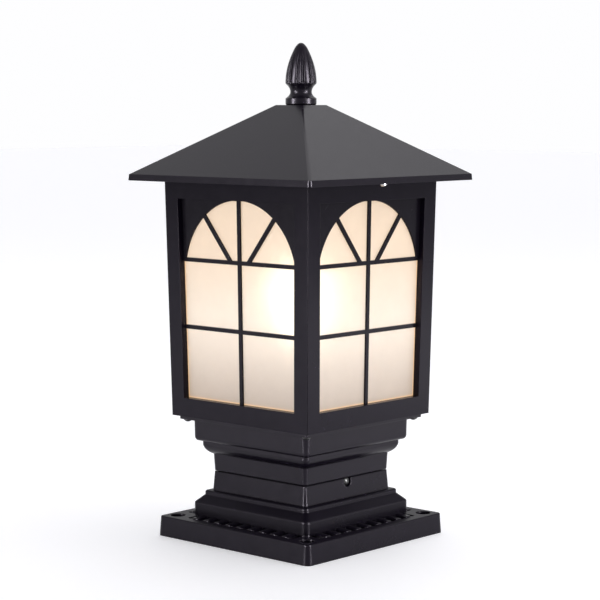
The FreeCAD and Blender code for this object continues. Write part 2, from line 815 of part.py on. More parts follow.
def side_frame(name, turn, lugged):
    """One cast side: a thin leaning skin with a rim round the window and ledges at both ends."""
    body = new_body(name, turn)
    foot_outer = half("body_foot_width")
    top_outer = half("body_top_width")
    low = new_sketch(body, "skin_foot", shift=("0", "0", BODY))
    draw_outline(low, mitred_strip(foot_outer, f"({foot_outer} - skin)"))
    high = new_sketch(body, "skin_top", shift=("0", "0", BODY_TOP))
    draw_outline(high, mitred_strip(top_outer, f"({top_outer} - skin)"))
    loft(body, "Additive", low, high)

    # Foot ledge: it stops short of the next frame's corner boss at its left end.
    middle = f"({foot_outer} - skin / 2)"
    inner = f"({foot_outer} - foot_ledge_depth)"
    left = "(corner_screw_place - corner_boss_radius - moving_gap)"
    ledge = new_sketch(body, "foot_ledge", shift=("0", "0", BODY))
    draw_outline(ledge, [
        (f"-{left}", f"-{middle}"),
        (f"{middle} - mitre_gap", f"-{middle}"),
        (f"{inner} - mitre_gap", f"-{inner}"),
        (f"-{left}", f"-{inner}"),
    ])
    pad(body, ledge, "ledge_thickness")
    middle = f"({top_outer} - skin / 2)"
    inner = f"({top_outer} - top_ledge_depth)"
    ledge = new_sketch(body, "top_ledge", shift=("0", "0", BODY_TOP))
    draw_outline(ledge, mitred_strip(middle, inner))
    pad(body, ledge, "ledge_thickness", reverse=True)

    # Boss for the corner screw at the right end, tied to the skin.
    boss = new_sketch(body, "corner_boss", shift=("0", "0", BODY))
    right = "(corner_screw_place + corner_boss_radius)"
    left = "(corner_screw_place - corner_boss_radius)"
    wall = f"({foot_outer} - skin + corner_boss_overlap)"
    draw_outline(boss, [
        (left, f"-{wall}"),
        (right, f"-{wall}"),
        (right, "-corner_screw_place", half_circle("2 * corner_boss_radius"), "right"),
        (left, "-corner_screw_place"),
    ])
    pad(body, boss, "corner_boss_height")
    hole = new_sketch(body, "corner_hole", shift=("0", "0", BODY))
    draw_circle(hole, "corner_screw_place", "-corner_screw_place", HOLE)
    pocket(body, hole, "corner_boss_height - corner_boss_cap", reverse=True)

    # Rim round the window and the clip bosses, both as deep as the glazing.
    rim = leaning_sketch(body, "rim", "skin / 2")
    draw_outline(rim, window_points("rabbet + rim_wall"))
    for right in (-1, 1):
        for height in (CLIP_LOW, CLIP_HIGH):
            draw_circle(rim, f"{right} * clip_place", height, "clip_boss_radius")
    pad(body, rim, f"{RIM_DEPTH} - skin / 2", reverse=True)
    opening = leaning_sketch(body, "opening", "-skin")
    draw_outline(opening, window_points("0"))
    pocket(body, opening, f"{RIM_DEPTH} + 2 * skin")
    rabbet = leaning_sketch(body, "rabbet", GRILLE_DEPTH)
    draw_outline(rabbet, window_points("rabbet"))
    pocket(body, rabbet, f"{RIM_DEPTH} - {GRILLE_DEPTH} + cut_past")
    holes = leaning_sketch(body, "clip_holes", f"{RIM_DEPTH} + cut_past")
    for right in (-1, 1):
        for height in (CLIP_LOW, CLIP_HIGH):
            draw_circle(holes, f"{right} * clip_place", height, SMALL_HOLE)
    pocket(body, holes, f"{RIM_DEPTH} + cut_past - skin / 2", reverse=True)

    if lugged:
        edge = half("lug_width")
        lug = new_sketch(body, "lug", shift=("0", "0", BODY_TOP))
        draw_outline(lug, [
            (f"-{edge}", f"-({top_outer} - skin / 2)"),
            (f"-{edge}", "-roof_screw_place", half_circle("lug_width"), "right"),
            (edge, "-roof_screw_place"),
            (edge, f"-({top_outer} - skin / 2)"),
        ])
        pad(body, lug, "ledge_thickness", reverse=True)
        hole = new_sketch(body, "lug_hole", shift=("0", "0", BODY_TOP))
        draw_circle(hole, "0", "-roof_screw_place", HOLE)
        pocket(body, hole, "ledge_thickness + cut_past")
    return body


def window_grille(name, turn):
    """A flat cast grille: spandrels round an arch, two cross bars, an upright and two rays."""
    body = new_body(name, turn)
    plate = leaning_sketch(body, "plate", GRILLE_DEPTH)
    draw_outline(plate, window_points("rabbet - glazing_clearance"))
    pad(body, plate, "grille_thickness", reverse=True)
    lights = leaning_sketch(body, "lower_lights", f"{GRILLE_DEPTH} - cut_past")
    draw_outline(lights, window_points("0", f"({UPPER_BAR} - bar_width / 2)"))
    pocket(body, lights, "grille_thickness + 2 * cut_past")
    spring = f"({UPPER_BAR} + bar_width / 2)"
    chord = f"sqrt(arch_radius^2 - ({spring} - {ARCH_CENTRE})^2)"
    arch = leaning_sketch(body, "arch", f"{GRILLE_DEPTH} - cut_past")
    draw_outline(arch, [
        (f"-{chord}", spring),
        (chord, spring, "arch_radius", "right"),
    ])
    pocket(body, arch, "grille_thickness + 2 * cut_past")

    bars = leaning_sketch(body, "upright", GRILLE_DEPTH)
    edge = "bar_width / 2"
    rim = "(rabbet / 2)"
    draw_outline(bars, [
        (f"-{edge}", f"sill_height - {rim}"),
        (edge, f"sill_height - {rim}"),
        (edge, f"{WINDOW_TOP} + {rim}"),
        (f"-{edge}", f"{WINDOW_TOP} + {rim}"),
    ])
    pad(body, bars, "grille_thickness", reverse=True)
    bars = leaning_sketch(body, "cross_bar", GRILLE_DEPTH)
    side = f"({window_half(LOWER_BAR)} + {rim})"
    draw_outline(bars, [
        (f"-{side}", f"{LOWER_BAR} - {edge}"),
        (side, f"{LOWER_BAR} - {edge}"),
        (side, f"{LOWER_BAR} + {edge}"),
        (f"-{side}", f"{LOWER_BAR} + {edge}"),
    ])
    pad(body, bars, "grille_thickness", reverse=True)
    near = f"({UPPER_BAR} - {ARCH_CENTRE}) / cos(ray_angle)"
    far = f"arch_radius + {rim}"
    for right in (-1, 1):
        bars = leaning_sketch(body, "left_ray" if right < 0 else "right_ray", GRILLE_DEPTH)
        corners = []
        for reach, offset in ((near, "-1"), (near, "1"), (far, "1"), (far, "-1")):
            sideways = f"({reach}) * sin(ray_angle) + {offset} * {edge} * cos(ray_angle)"
            upwards = f"({reach}) * cos(ray_angle) - {offset} * {edge} * sin(ray_angle)"
            corners.append((f"{right} * ({sideways})", f"{ARCH_CENTRE} + {upwards}"))
        draw_outline(bars, corners)
        pad(body, bars, "grille_thickness", reverse=True)
    return body


def glass_pane(name, turn):
    body = new_body(name, turn)
    sketch = leaning_sketch(body, "outline", PANE_DEPTH)
    draw_outline(sketch, window_points("rabbet - glazing_clearance"))
    pad(body, sketch, "pane_thickness", reverse=True)
    return body


def glass_clips():
    """Flat clips that hold each pane at its foot and head."""
    body = new_body("glass_clips")
    sketch = leaning_sketch(body, "outline", RIM_DEPTH)
    foot = f"({CLIP_LOW} - clip_boss_radius)"
    head = f"({CLIP_HIGH} + clip_boss_radius)"
    foot_end = "(sill_height - rabbet + clip_overlap)"
    head_end = f"({WINDOW_TOP} + rabbet - clip_overlap)"
    for right in (-1, 1):
        left_edge = f"{right} * clip_place - clip_width / 2"
        right_edge = f"{right} * clip_place + clip_width / 2"
        for low, high in ((foot, foot_end), (head_end, head)):
            draw_outline(sketch, [
                (left_edge, low),
                (right_edge, low),
                (right_edge, high),
                (left_edge, high),
            ])
            middle = CLIP_LOW if low == foot else CLIP_HIGH
            draw_circle(sketch, f"{right} * clip_place", middle, SMALL_HOLE)
    clips = pad(body, sketch, "clip_thickness", reverse=True)
    ring(body, [clips], 4)
    return body


def clip_screws():
    body = new_body("clip_screws")
    depth = total(RIM_DEPTH, "clip_thickness")
    heads = leaning_sketch(body, "heads", depth)
    shanks = leaning_sketch(body, "shanks", depth)
    for right in (-1, 1):
        for height in (CLIP_LOW, CLIP_HIGH):
            draw_circle(heads, f"{right} * clip_place", height, "small_head_radius")
            draw_circle(shanks, f"{right} * clip_place", height, "small_screw_radius")
    head = pad(body, heads, "small_head_height", reverse=True)
    shank = pad(body, shanks, f"{depth} - skin")
    ring(body, [head, shank], 4)
    return body


# ---- Roof and finial --------------------------------------------------------------------------

def roof():
    """A hollow pyramid with a fascia, a skirt that stands on the box and two screw bosses."""
    body = new_body("roof")
    tier(body, "fascia", "roof_width", "roof_top_width", "roof_corner", EAVE, "fascia_height")
    low = square_sketch(body, "slope_foot", "roof_top_width", "roof_corner", SLOPE)
    high = square_sketch(body, "slope_top", "crown_width", "roof_corner / 2", CROWN)
    loft(body, "Additive", low, high)
    cavity = "roof_width - 2 * fascia_wall"
    rim = square_sketch(body, "rim_hollow", cavity, "roof_corner", EAVE)
    pocket(body, rim, "rim_depth", reverse=True)
    low = square_sketch(body, "hollow_foot", cavity, "roof_corner", total(EAVE, "rim_depth"))
    high = square_sketch(body, "hollow_top", "crown_width", "roof_corner / 2", CROWN_UNDERSIDE)
    loft(body, "Subtractive", low, high)
    slope = "(roof_rise / (roof_top_width - crown_width) * 2)"
    skirt_foot = total(ROOF_SEAT, "roof_gasket_thickness")
    skirt_top = f"({SLOPE} + {half('roof_top_width - skirt_width')} * {slope} - skirt_bite)"
    skirt = square_sketch(body, "skirt", "skirt_width", "roof_corner", skirt_foot)
    draw_square(skirt, "skirt_width - 2 * skirt_wall", "roof_corner / 2")
    pad(body, skirt, f"{skirt_top} - {skirt_foot}")
    boss = new_sketch(body, "boss", shift=("0", "0", ROOF_SEAT))
    draw_circle(boss, "roof_screw_place", "0", "roof_boss_radius")
    boss_inside = "(roof_top_width / 2 - roof_screw_place - roof_boss_radius)"
    boss_top = f"({SLOPE} + {boss_inside} * {slope} - roof_boss_bite)"
    boss = pad(body, boss, f"{boss_top} - {ROOF_SEAT}")
    hole = new_sketch(body, "boss_hole", shift=("0", "0", ROOF_SEAT))
    draw_circle(hole, "roof_screw_place", "0", HOLE)
    hole = pocket(body, hole, "roof_boss_bore_depth", reverse=True)
    ring(body, [boss, hole], 2)
    crown_hole = new_sketch(body, "crown_hole", shift=("0", "0", CROWN))
    draw_circle(crown_hole, "0", "0", "stud_radius + thread_clearance")
    pocket(body, crown_hole, "crown_wall + cut_past")
    return body


def roof_gasket():
    """A square rubber ring under the roof's skirt."""
    body = new_body("roof_gasket")
    sketch = square_sketch(body, "ring", "skirt_width", "roof_corner", ROOF_SEAT)
    draw_square(sketch, "skirt_width - 2 * skirt_wall", "roof_corner / 2")
    pad(body, sketch, "roof_gasket_thickness")
    return body


def finial():
    """A ring, a hollow neck and a pointed ribbed bud, bored from below for its stud."""
    body = new_body("finial")
    sketch = new_sketch(body, "profile", "XZ_Plane")
    bore = "(stud_radius + thread_clearance)"
    bore_top = total(CROWN, "stud_rise", "stud_gap")
    ring_top = total(CROWN, "ring_height")
    bud_foot = total(ring_top, "scotia_height")
    tip = total(bud_foot, "bud_height")
    point = total(tip, "-bud_point_height")
    draw_outline(sketch, [
        (bore, CROWN),
        ("ring_radius", CROWN),
        ("ring_radius", ring_top, "scotia_radius", "left"),
        ("bud_radius", bud_foot, "bud_side_radius", "right"),
        ("bud_point_radius", point, "bud_tip_round", "right"),
        ("bud_tip_radius", tip),
        ("0", tip),
        ("0", bore_top),
        (bore, bore_top),
    ])
    revolve(body, sketch)
    # Grooves between the ribs, deepest at the bud's foot and gone before its tip.
    groove = new_sketch(body, "groove", "XZ_Plane", ("0", "0", half("groove_width")))
    groove_foot = f"({bud_foot} - groove_depth)"
    draw_outline(groove, [
        ("bud_radius - groove_depth", groove_foot),
        ("bud_radius + cut_past", groove_foot),
        ("bud_radius + cut_past", point),
        ("bud_point_radius + groove_tip_gap", point, "bud_side_radius", "left"),
    ])
    cut = pocket(body, groove, "groove_width")
    ring(body, [cut], "rib_count")
    return body


def finial_stud():
    body = new_body("finial_stud")
    sketch = new_sketch(body, "section", shift=("0", "0", f"{CROWN} - stud_drop"))
    draw_circle(sketch, "0", "0", "stud_radius")
    pad(body, sketch, "stud_drop + stud_rise")
    return body


def finial_washer():
    body = new_body("finial_washer")
    sketch = new_sketch(body, "section", shift=("0", "0", CROWN_UNDERSIDE))
    draw_circle(sketch, "0", "0", "washer_radius")
    draw_circle(sketch, "0", "0", "stud_radius + thread_clearance")
    pad(body, sketch, "washer_thickness", reverse=True)
    return body


def finial_nut():
    body = new_body("finial_nut")
    sketch = new_sketch(body, "section", shift=("0", "0", f"{CROWN_UNDERSIDE} - washer_thickness"))
    corners = []
    for index in range(6):
        reach = "(nut_across_flats / 2 / cos(30))"
        corners.append((f"{reach} * cos({60 * index})", f"{reach} * sin({60 * index})"))
    draw_outline(sketch, corners)
    draw_circle(sketch, "0", "0", "stud_radius + thread_clearance")
    pad(body, sketch, "nut_height", reverse=True)
    return body


# ---- Lamp gear ----------------------------------------------------------------------------------

def chamber_floor():
    """A sheet that closes the neck and carries the lamp gear."""
    body = new_body("chamber_floor")
    width = "body_foot_width - 2 * foot_ledge_depth - 2 * floor_clearance"
    sketch = square_sketch(body, "sheet", width, "shoulder_corner", BODY)
    draw_circle(sketch, "0", "0", "grommet_hole")
    for right, back in CORNERS:
        draw_circle(sketch, f"{right} * floor_boss_place", f"{back} * floor_boss_place", HOLE)
    for right in (-1, 1):
        draw_circle(sketch, f"{right} * bracket_screw_place", "0", SMALL_HOLE)
    draw_circle(sketch, "0", "terminal_place + terminal_depth / 2", SMALL_HOLE)
    draw_circle(sketch, "-earth_place", "earth_place", HOLE)
    pad(body, sketch, "floor_thickness")
    return body


def lamp_bracket():
    """A folded sheet hat that holds the lamp holder over the wires."""
    body = new_body("lamp_bracket")
    sketch = new_sketch(body, "profile", "XZ_Plane", ("0", FLOOR_TOP, f"-{half('bracket_width')}"))
    end = half("bracket_length")
    leg = half("bracket_top_length")
    sheet_top = "bracket_height"
    under = "(bracket_height - bracket_sheet)"
    draw_outline(sketch, [
        (f"-({end})", "0"),
        (f"-({leg}) + bracket_sheet", "0"),
        (f"-({leg}) + bracket_sheet", under),
        (f"{leg} - bracket_sheet", under),
        (f"{leg} - bracket_sheet", "0"),
        (end, "0"),
        (end, "bracket_sheet"),
        (leg, "bracket_sheet"),
        (leg, sheet_top),
        (f"-({leg})", sheet_top),
        (f"-({leg})", "bracket_sheet"),
        (f"-({end})", "bracket_sheet"),
    ])
    pad(body, sketch, "bracket_width")
    holes = new_sketch(body, "holes", shift=("0", "0", HOLDER))
    for right in (-1, 1):
        draw_circle(holes, f"{right} * bracket_screw_place", "0", SMALL_HOLE)
        draw_circle(holes, f"{right} * holder_screw_place", "0", SMALL_HOLE)
    draw_circle(holes, "0", "0", "holder_recess_radius - cut_past")
    pocket(body, holes, "bracket_height + cut_past")
    return body


def cable_grommet():
    body = new_body("cable_grommet")
    sketch = new_sketch(body, "profile", "XZ_Plane", ("0", BODY, "0"))
    lip = "(grommet_hole + grommet_lip)"
    seat = "(grommet_hole - hole_clearance)"
    draw_outline(sketch, [
        ("grommet_bore", "-grommet_lip"),
        (lip, "-grommet_lip"),
        (lip, "0"),
        (seat, "0"),
        (seat, "floor_thickness"),
        (lip, "floor_thickness"),
        (lip, "floor_thickness + grommet_lip"),
        ("grommet_bore", "floor_thickness + grommet_lip"),
    ])
    revolve(body, sketch)
    return body


def lamp_holder():
    """A ceramic lamp holder with a hollow base for the wires."""
    body = new_body("lamp_holder")
    sketch = new_sketch(body, "profile", "XZ_Plane", ("0", HOLDER, "0"))
    bore = "(socket_radius + socket_wall + hole_clearance / 2)"
    draw_outline(sketch, [
        ("holder_recess_radius", "0"),
        ("holder_radius", "0"),
        ("holder_radius", "holder_base_height"),
        ("holder_rim_radius", "holder_base_height + holder_slope_height"),
        ("holder_rim_radius", "holder_height"),
        (bore, "holder_height"),
        (bore, "holder_height - socket_depth"),
        ("0", "holder_height - socket_depth"),
        ("0", "holder_recess_depth"),
        ("holder_recess_radius", "holder_recess_depth"),
    ])
    revolve(body, sketch)
    holes = new_sketch(body, "screw_holes", shift=("0", "0", HOLDER))
    for right in (-1, 1):
        draw_circle(holes, f"{right} * holder_screw_place", "0", SMALL_HOLE)
    pocket(body, holes, "holder_base_height", reverse=True)
    return body


def socket_shell():
    body = new_body("socket_shell")
    sketch = new_sketch(body, "section", shift=("0", "0", total(SOCKET_FLOOR, "contact_height")))
    draw_circle(sketch, "0", "0", "socket_radius + socket_wall")
    draw_circle(sketch, "0", "0", "socket_radius")
    pad(body, sketch, "socket_depth - contact_height - socket_lip")
    return body


def centre_contact():
    body = new_body("centre_contact")
    sketch = new_sketch(body, "section", shift=("0", "0", SOCKET_FLOOR))
    draw_circle(sketch, "0", "0", "contact_radius")
    pad(body, sketch, "contact_height")
    return body


def bulb_cap():
    """The bulb's screw cap: a thin cup with a hole for the contact."""
    body = new_body("bulb_cap")
    sketch = new_sketch(body, "profile", "XZ_Plane", ("0", CAP, "0"))
    hole = "(contact_radius + contact_margin)"
    draw_outline(sketch, [
        (hole, "cap_dish"),
        ("cap_radius - cap_bevel", "cap_rise"),
        ("cap_radius", "cap_rise + cap_bevel"),
        ("cap_radius", "cap_height"),
        ("cap_radius - cap_wall", "cap_height"),
        ("cap_radius - cap_wall", "cap_rise + cap_bevel + cap_wall"),
        (hole, "cap_dish + 1.4 * cap_wall"),
    ])
    revolve(body, sketch)
    return body


def bulb_contact():
    body = new_body("bulb_contact")
    sketch = new_sketch(body, "profile", "XZ_Plane", ("0", CAP, "0"))
    seat = "(contact_radius + contact_margin - hole_clearance)"
    top = "cap_dish + 1.5 * cap_wall"
    draw_outline(sketch, [
        ("0", "0"),
        ("contact_radius - contact_margin", "0"),
        (seat, "cap_dish"),
        (seat, top),
        ("0", top),
    ])
    revolve(body, sketch)
    return body


def bulb_glass():
    """A thin pear-shaped glass whose neck stands in the cap."""
    body = new_body("bulb_glass")
    sketch = new_sketch(body, "profile", "XZ_Plane")
    centre = f"({BULB_TOP} - globe_radius)"
    foot = total(CAP, "glass_foot_rise")
    rim = total(CAP, "cap_height")
    inside = "(globe_radius - glass_wall)"
    sine = "sin(globe_shoulder_angle)"
    cosine = "cos(globe_shoulder_angle)"
    neck = "glass_neck_radius"
    draw_outline(sketch, [
        (f"{neck} - glass_wall", foot),
        (neck, foot),
        (neck, rim),
        (f"{neck} + glass_flare", f"{rim} + glass_flare_height"),
        (f"globe_radius * {cosine}", f"{centre} - globe_radius * {sine}", "globe_radius", "right"),
        ("0", BULB_TOP),
        ("0", f"{BULB_TOP} - glass_wall", inside, "left"),
        (f"{inside} * {cosine}", f"{centre} - {inside} * {sine}"),
        (f"{neck} + glass_flare - glass_wall", f"{rim} + glass_flare_height + glass_flare_ease"),
        (f"{neck} - glass_wall", f"{rim} + glass_flare_ease"),
    ])
    revolve(body, sketch)
    return body


# ---- Wiring -------------------------------------------------------------------------------------

def terminal_block():
    """A three-way block screwed under the chamber floor."""
    body = new_body("terminal_block")
    sketch = new_sketch(body, "outline", shift=("0", "0", BODY))
    end = half("terminal_length")
    back = "(terminal_place + terminal_depth)"
    draw_outline(sketch, [
        (f"-({end})", "terminal_place"),
        (end, "terminal_place"),
        (end, back),
        (f"-({end})", back),
    ])
    pad(body, sketch, "terminal_height", reverse=True)
    entries = new_sketch(body, "entries", "XZ_Plane", ("0", "0", "-terminal_place"))
    screws = new_sketch(body, "screws", shift=("0", "0", f"{BODY} - terminal_height"))
    for index in (-1, 0, 1):
        across = f"{index} * terminal_pitch"
        draw_circle(entries, across, f"{BODY} - terminal_height / 2", "terminal_bore")
        draw_circle(screws, across, "terminal_place + terminal_entry", "terminal_bore")
    pocket(body, entries, "terminal_entry")
    pocket(body, screws, "terminal_height / 2 - terminal_bore - terminal_web", reverse=True)
    fixing = new_sketch(body, "fixing", shift=("0", "0", BODY))
    draw_circle(fixing, "0", "terminal_place + terminal_depth / 2", SMALL_HOLE)
    pocket(body, fixing, "terminal_height / 2 - terminal_web")
    return body


def lead(name, route):
    """A round lead along straight runs with tangent arcs between them."""
    points = [FreeCAD.Vector(*[number(text) for text in point]) for point in route]
    edges = []
    start = points[0]
    for before, corner, after in zip(points, points[1:], points[2:]):
        arriving = (corner - before).normalize()
        leaving = (after - corner).normalize()
        turn = arriving.getAngle(leaving)
        setback = BEND_SHARE * min((corner - before).Length, (after - corner).Length)
        bend_start = corner - arriving * setback
        bend_end = corner + leaving * setback
        radius = setback / math.tan(turn / 2)
        inwards = (leaving - arriving).normalize()
        middle = corner + inwards * (radius / math.cos(turn / 2) - radius)
        edges.append(Part.LineSegment(start, bend_start).toShape())
        edges.append(Part.Arc(bend_start, middle, bend_end).toShape())
        start = bend_end
    edges.append(Part.LineSegment(start, points[-1]).toShape())
    path = Part.Wire(edges)
    circle = Part.Circle(points[0], points[1] - points[0], number("lead_radius"))
    section = Part.Wire([circle.toShape()])
    tube = path.makePipeShell([section], True, False)
    feature = doc.addObject("Part::Feature", name)
    feature.Label = name
    feature.Shape = tube
    feature.Placement = FreeCAD.Placement()
    return feature


ENTRY_LEVEL = f"({BODY} - terminal_height / 2)"
ENTRY_END = "(terminal_place + terminal_entry - lead_gap)"


def lamp_lead(name, entry, side):
    """A lead from the terminal block up through the grommet to the lamp holder."""
    beside = f"{entry} * terminal_pitch"
    middle = f"{side} * lead_spread"
    return lead(name, [
        (beside, ENTRY_END, ENTRY_LEVEL),
        (beside, "terminal_place - lead_straight", ENTRY_LEVEL),
        (middle, "0", ENTRY_LEVEL),
        (middle, "0", total(HOLDER, "holder_recess_depth", "-hole_clearance")),
    ])


def earth_lead():
    level = f"({BODY} - screw_head_height - lead_radius - hole_clearance)"
    return lead("earth_lead", [
        ("-terminal_pitch", ENTRY_END, ENTRY_LEVEL),
        ("-terminal_pitch", "terminal_place - lead_straight", ENTRY_LEVEL),
        ("-earth_bend_place", "terminal_place - earth_bend_drop", level),
        ("-earth_place", "earth_place", level),
    ])


# ---- The lantern ----------------------------------------------------------------------------------

pedestal_base()
neck_casting()
neck_gasket()
for side, turn in WINDOWS.items():
    side_frame(f"side_frame_{side}", turn, side in LUGGED)
    window_grille(f"window_grille_{side}", turn)
    glass_pane(f"glass_pane_{side}", turn)
glass_clips()
clip_screws()
roof()
roof_gasket()
finial()
finial_stud()
finial_washer()
finial_nut()
chamber_floor()
lamp_bracket()
cable_grommet()
lamp_holder()
socket_shell()
centre_contact()
bulb_glass()
bulb_cap()
bulb_contact()
terminal_block()
lamp_lead("live_lead", 0, -1)
lamp_lead("neutral_lead", 1, 1)
earth_lead()

SEAM_HEAD = f"({NOTCH_FLOOR} + moving_gap)"
TERMINAL_MIDDLE = "terminal_place + terminal_depth / 2"
screw_ring("corner_screws", 4, "corner_screw_place * sqrt(2)", TRAY, "screw_reach", spin=180, turn=45)
screw_ring("roof_screws", 2, "roof_screw_place", f"{BODY_TOP} - ledge_thickness",
           "ledge_thickness + roof_screw_rise", spin=180)
screw_ring("seam_screws", 2, SEAM_HEAD, NOTCH, f"{SEAM_HEAD} - {SPIGOT_BORE} + seam_screw_past", spin=-90)
screw_ring("floor_screws", 4, "floor_boss_place * sqrt(2)", FLOOR_TOP, "screw_reach", turn=45)
screw_ring("bracket_screws", 2, "bracket_screw_place", f"{FLOOR_TOP} + bracket_sheet",
           "bracket_sheet + floor_thickness + bracket_screw_past", small=True)
screw_ring("holder_screws", 2, "holder_screw_place", f"{HOLDER} - bracket_sheet", "holder_base_height",
           spin=180, small=True)
screw_ring("terminal_screw", 1, TERMINAL_MIDDLE, FLOOR_TOP,
           "floor_thickness + terminal_height / 2 - terminal_screw_gap", turn=90, small=True)
screw_ring("earth_screw", 1, "earth_place * sqrt(2)", BODY, "floor_thickness + earth_screw_past",
           spin=180, turn=135)

doc.recompute()

# ---- Checks and files -----------------------------------------------------------------------------

for item in doc.Objects:
    if "Invalid" in item.State or "Error" in item.State:
        raise RuntimeError(f"{item.Name} failed: {item.State}")
pieces = [item for item in doc.Objects if item.TypeId in ("PartDesign::Body", "Part::Feature")]
for piece in pieces:
    if piece.Shape.isNull() or not piece.Shape.isValid() or not piece.Shape.Solids:
        raise RuntimeError(f"{piece.Label} has no valid solid")
os.makedirs("parts", exist_ok=True)
for piece in pieces:
    piece.Shape.exportStep(f"parts/{piece.Label}.step")
print(f"{len(pieces)} pieces written")
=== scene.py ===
import json
import math

import bmesh
import bpy
from mathutils import Matrix, Vector


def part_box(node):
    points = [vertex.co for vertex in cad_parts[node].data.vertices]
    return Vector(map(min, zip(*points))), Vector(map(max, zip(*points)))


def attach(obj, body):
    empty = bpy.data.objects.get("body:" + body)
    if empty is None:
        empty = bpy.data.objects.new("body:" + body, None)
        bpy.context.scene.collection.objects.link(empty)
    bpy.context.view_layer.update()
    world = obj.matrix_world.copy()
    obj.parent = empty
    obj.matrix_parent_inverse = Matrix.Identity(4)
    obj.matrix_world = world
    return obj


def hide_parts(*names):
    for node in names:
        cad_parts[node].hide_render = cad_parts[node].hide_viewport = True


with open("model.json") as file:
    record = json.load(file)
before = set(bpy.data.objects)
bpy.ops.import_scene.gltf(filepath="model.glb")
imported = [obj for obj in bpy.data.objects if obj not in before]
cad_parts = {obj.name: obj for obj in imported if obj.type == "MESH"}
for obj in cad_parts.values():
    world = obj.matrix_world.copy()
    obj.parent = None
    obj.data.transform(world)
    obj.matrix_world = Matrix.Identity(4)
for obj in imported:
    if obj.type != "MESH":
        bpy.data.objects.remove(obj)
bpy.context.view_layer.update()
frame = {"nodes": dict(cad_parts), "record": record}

NODES = frame["nodes"]
MM = 0.001
QUARTER_TURNS = [Matrix.Rotation(math.pi / 2 * quarter, 3, "Z") for quarter in range(4)]


def half_widths(points, foot, head, rim):
    """Half the width of a leaning front piece at its foot and at its head.

    A point counts as at an end when it is less than the rim away from it.
    """
    at_foot = max(point.x for point in points if point.z < foot + rim)
    at_head = max(point.x for point in points if point.z > head - rim)
    return at_foot, at_head


# ---- Shader nodes ---------------------------------------------------------------------------

# The noise keeps mostly between these values.
NOISE_MIDDLE = (0.3, 0.7)
# Places of the colour sockets in a mix node, whose names repeat.
MIX_FIRST = 6
MIX_SECOND = 7
MIX_RESULT = 2
EDGE_SAMPLES = 6


def new_material(name):
    """A node material with its tree, its principled shader and its output."""
    material = bpy.data.materials.new(name)
    material.use_nodes = True
    tree = material.node_tree
    tree.nodes.clear()
    output = tree.nodes.new("ShaderNodeOutputMaterial")
    shader = tree.nodes.new("ShaderNodeBsdfPrincipled")
    tree.links.new(shader.outputs["BSDF"], output.inputs["Surface"])
    return material, tree, shader, output


def shader_of(material):
    """The principled shader of a material."""
    return next(node for node in material.node_tree.nodes if node.type == "BSDF_PRINCIPLED")


def object_place(tree):
    """The place of a point in its object's own space, in metres."""
    return tree.nodes.new("ShaderNodeTexCoord").outputs["Object"]


def axes_of(tree, vector):
    """The X, Y and Z of a vector."""
    parts = tree.nodes.new("ShaderNodeSeparateXYZ")
    tree.links.new(vector, parts.inputs["Vector"])
    return parts.outputs["X"], parts.outputs["Y"], parts.outputs["Z"]


def arithmetic(tree, operation, *values):
    """The result of a math node on one or two values."""
    node = tree.nodes.new("ShaderNodeMath")
    node.operation = operation
    for value, socket in zip(values, node.inputs):
        tree.links.new(value, socket)
    return node.outputs["Value"]


def map_range(tree, value, source, target, smooth=False):
    """Map a value from one range to another, and no further than its ends."""
    node = tree.nodes.new("ShaderNodeMapRange")
    if smooth:
        node.interpolation_type = "SMOOTHSTEP"
    for name, number in zip(("From Min", "From Max", "To Min", "To Max"), (*source, *target)):
        node.inputs[name].default_value = number
    tree.links.new(value, node.inputs["Value"])
    return node.outputs["Result"]


def noise(tree, scale, detail=2.0, roughness=0.5, stretch=(1, 1, 1)):
    """Noise in the object's own space; scale is in waves per metre."""
    mapping = tree.nodes.new("ShaderNodeMapping")
    mapping.inputs["Scale"].default_value = stretch
    tree.links.new(object_place(tree), mapping.inputs["Vector"])
    field = tree.nodes.new("ShaderNodeTexNoise")
    for name, number in (("Scale", scale), ("Detail", detail), ("Roughness", roughness)):
        field.inputs[name].default_value = number
    tree.links.new(mapping.outputs["Vector"], field.inputs["Vector"])
    return field.outputs["Fac"]


def blend(tree, factor, first, second):
    """A colour between two, of which the first may be a socket."""
    node = tree.nodes.new("ShaderNodeMix")
    node.data_type = "RGBA"
    if isinstance(first, bpy.types.NodeSocket):
        tree.links.new(first, node.inputs[MIX_FIRST])
    else:
        node.inputs[MIX_FIRST].default_value = (*first, 1)
    node.inputs[MIX_SECOND].default_value = (*second, 1)
    tree.links.new(factor, node.inputs["Factor"])
    return node.outputs[MIX_RESULT]


def set_normal(tree, shader, height, depth, edge=None):
    """Bump the surface by a depth in metres, and round its edges off by a small radius."""
    bump = tree.nodes.new("ShaderNodeBump")
    bump.inputs["Strength"].default_value = 1.0
    bump.inputs["Distance"].default_value = depth
    tree.links.new(height, bump.inputs["Height"])
    if edge:
        bevel = tree.nodes.new("ShaderNodeBevel")
        bevel.samples = EDGE_SAMPLES
        bevel.inputs["Radius"].default_value = edge
        tree.links.new(bevel.outputs["Normal"], bump.inputs["Normal"])
    tree.links.new(bump.outputs["Normal"], shader.inputs["Normal"])


# ---- Painted, metal and plastic finishes ------------------------------------------------------

# Detail and roughness of the three noises in a finish.
DRIFT_NOISE = (4.0, 0.6)
GRAIN_NOISE = (3.0, 0.55)
GLOSS_NOISE = (5.0, 0.65)
GLOSS_PER_PATCH = 3


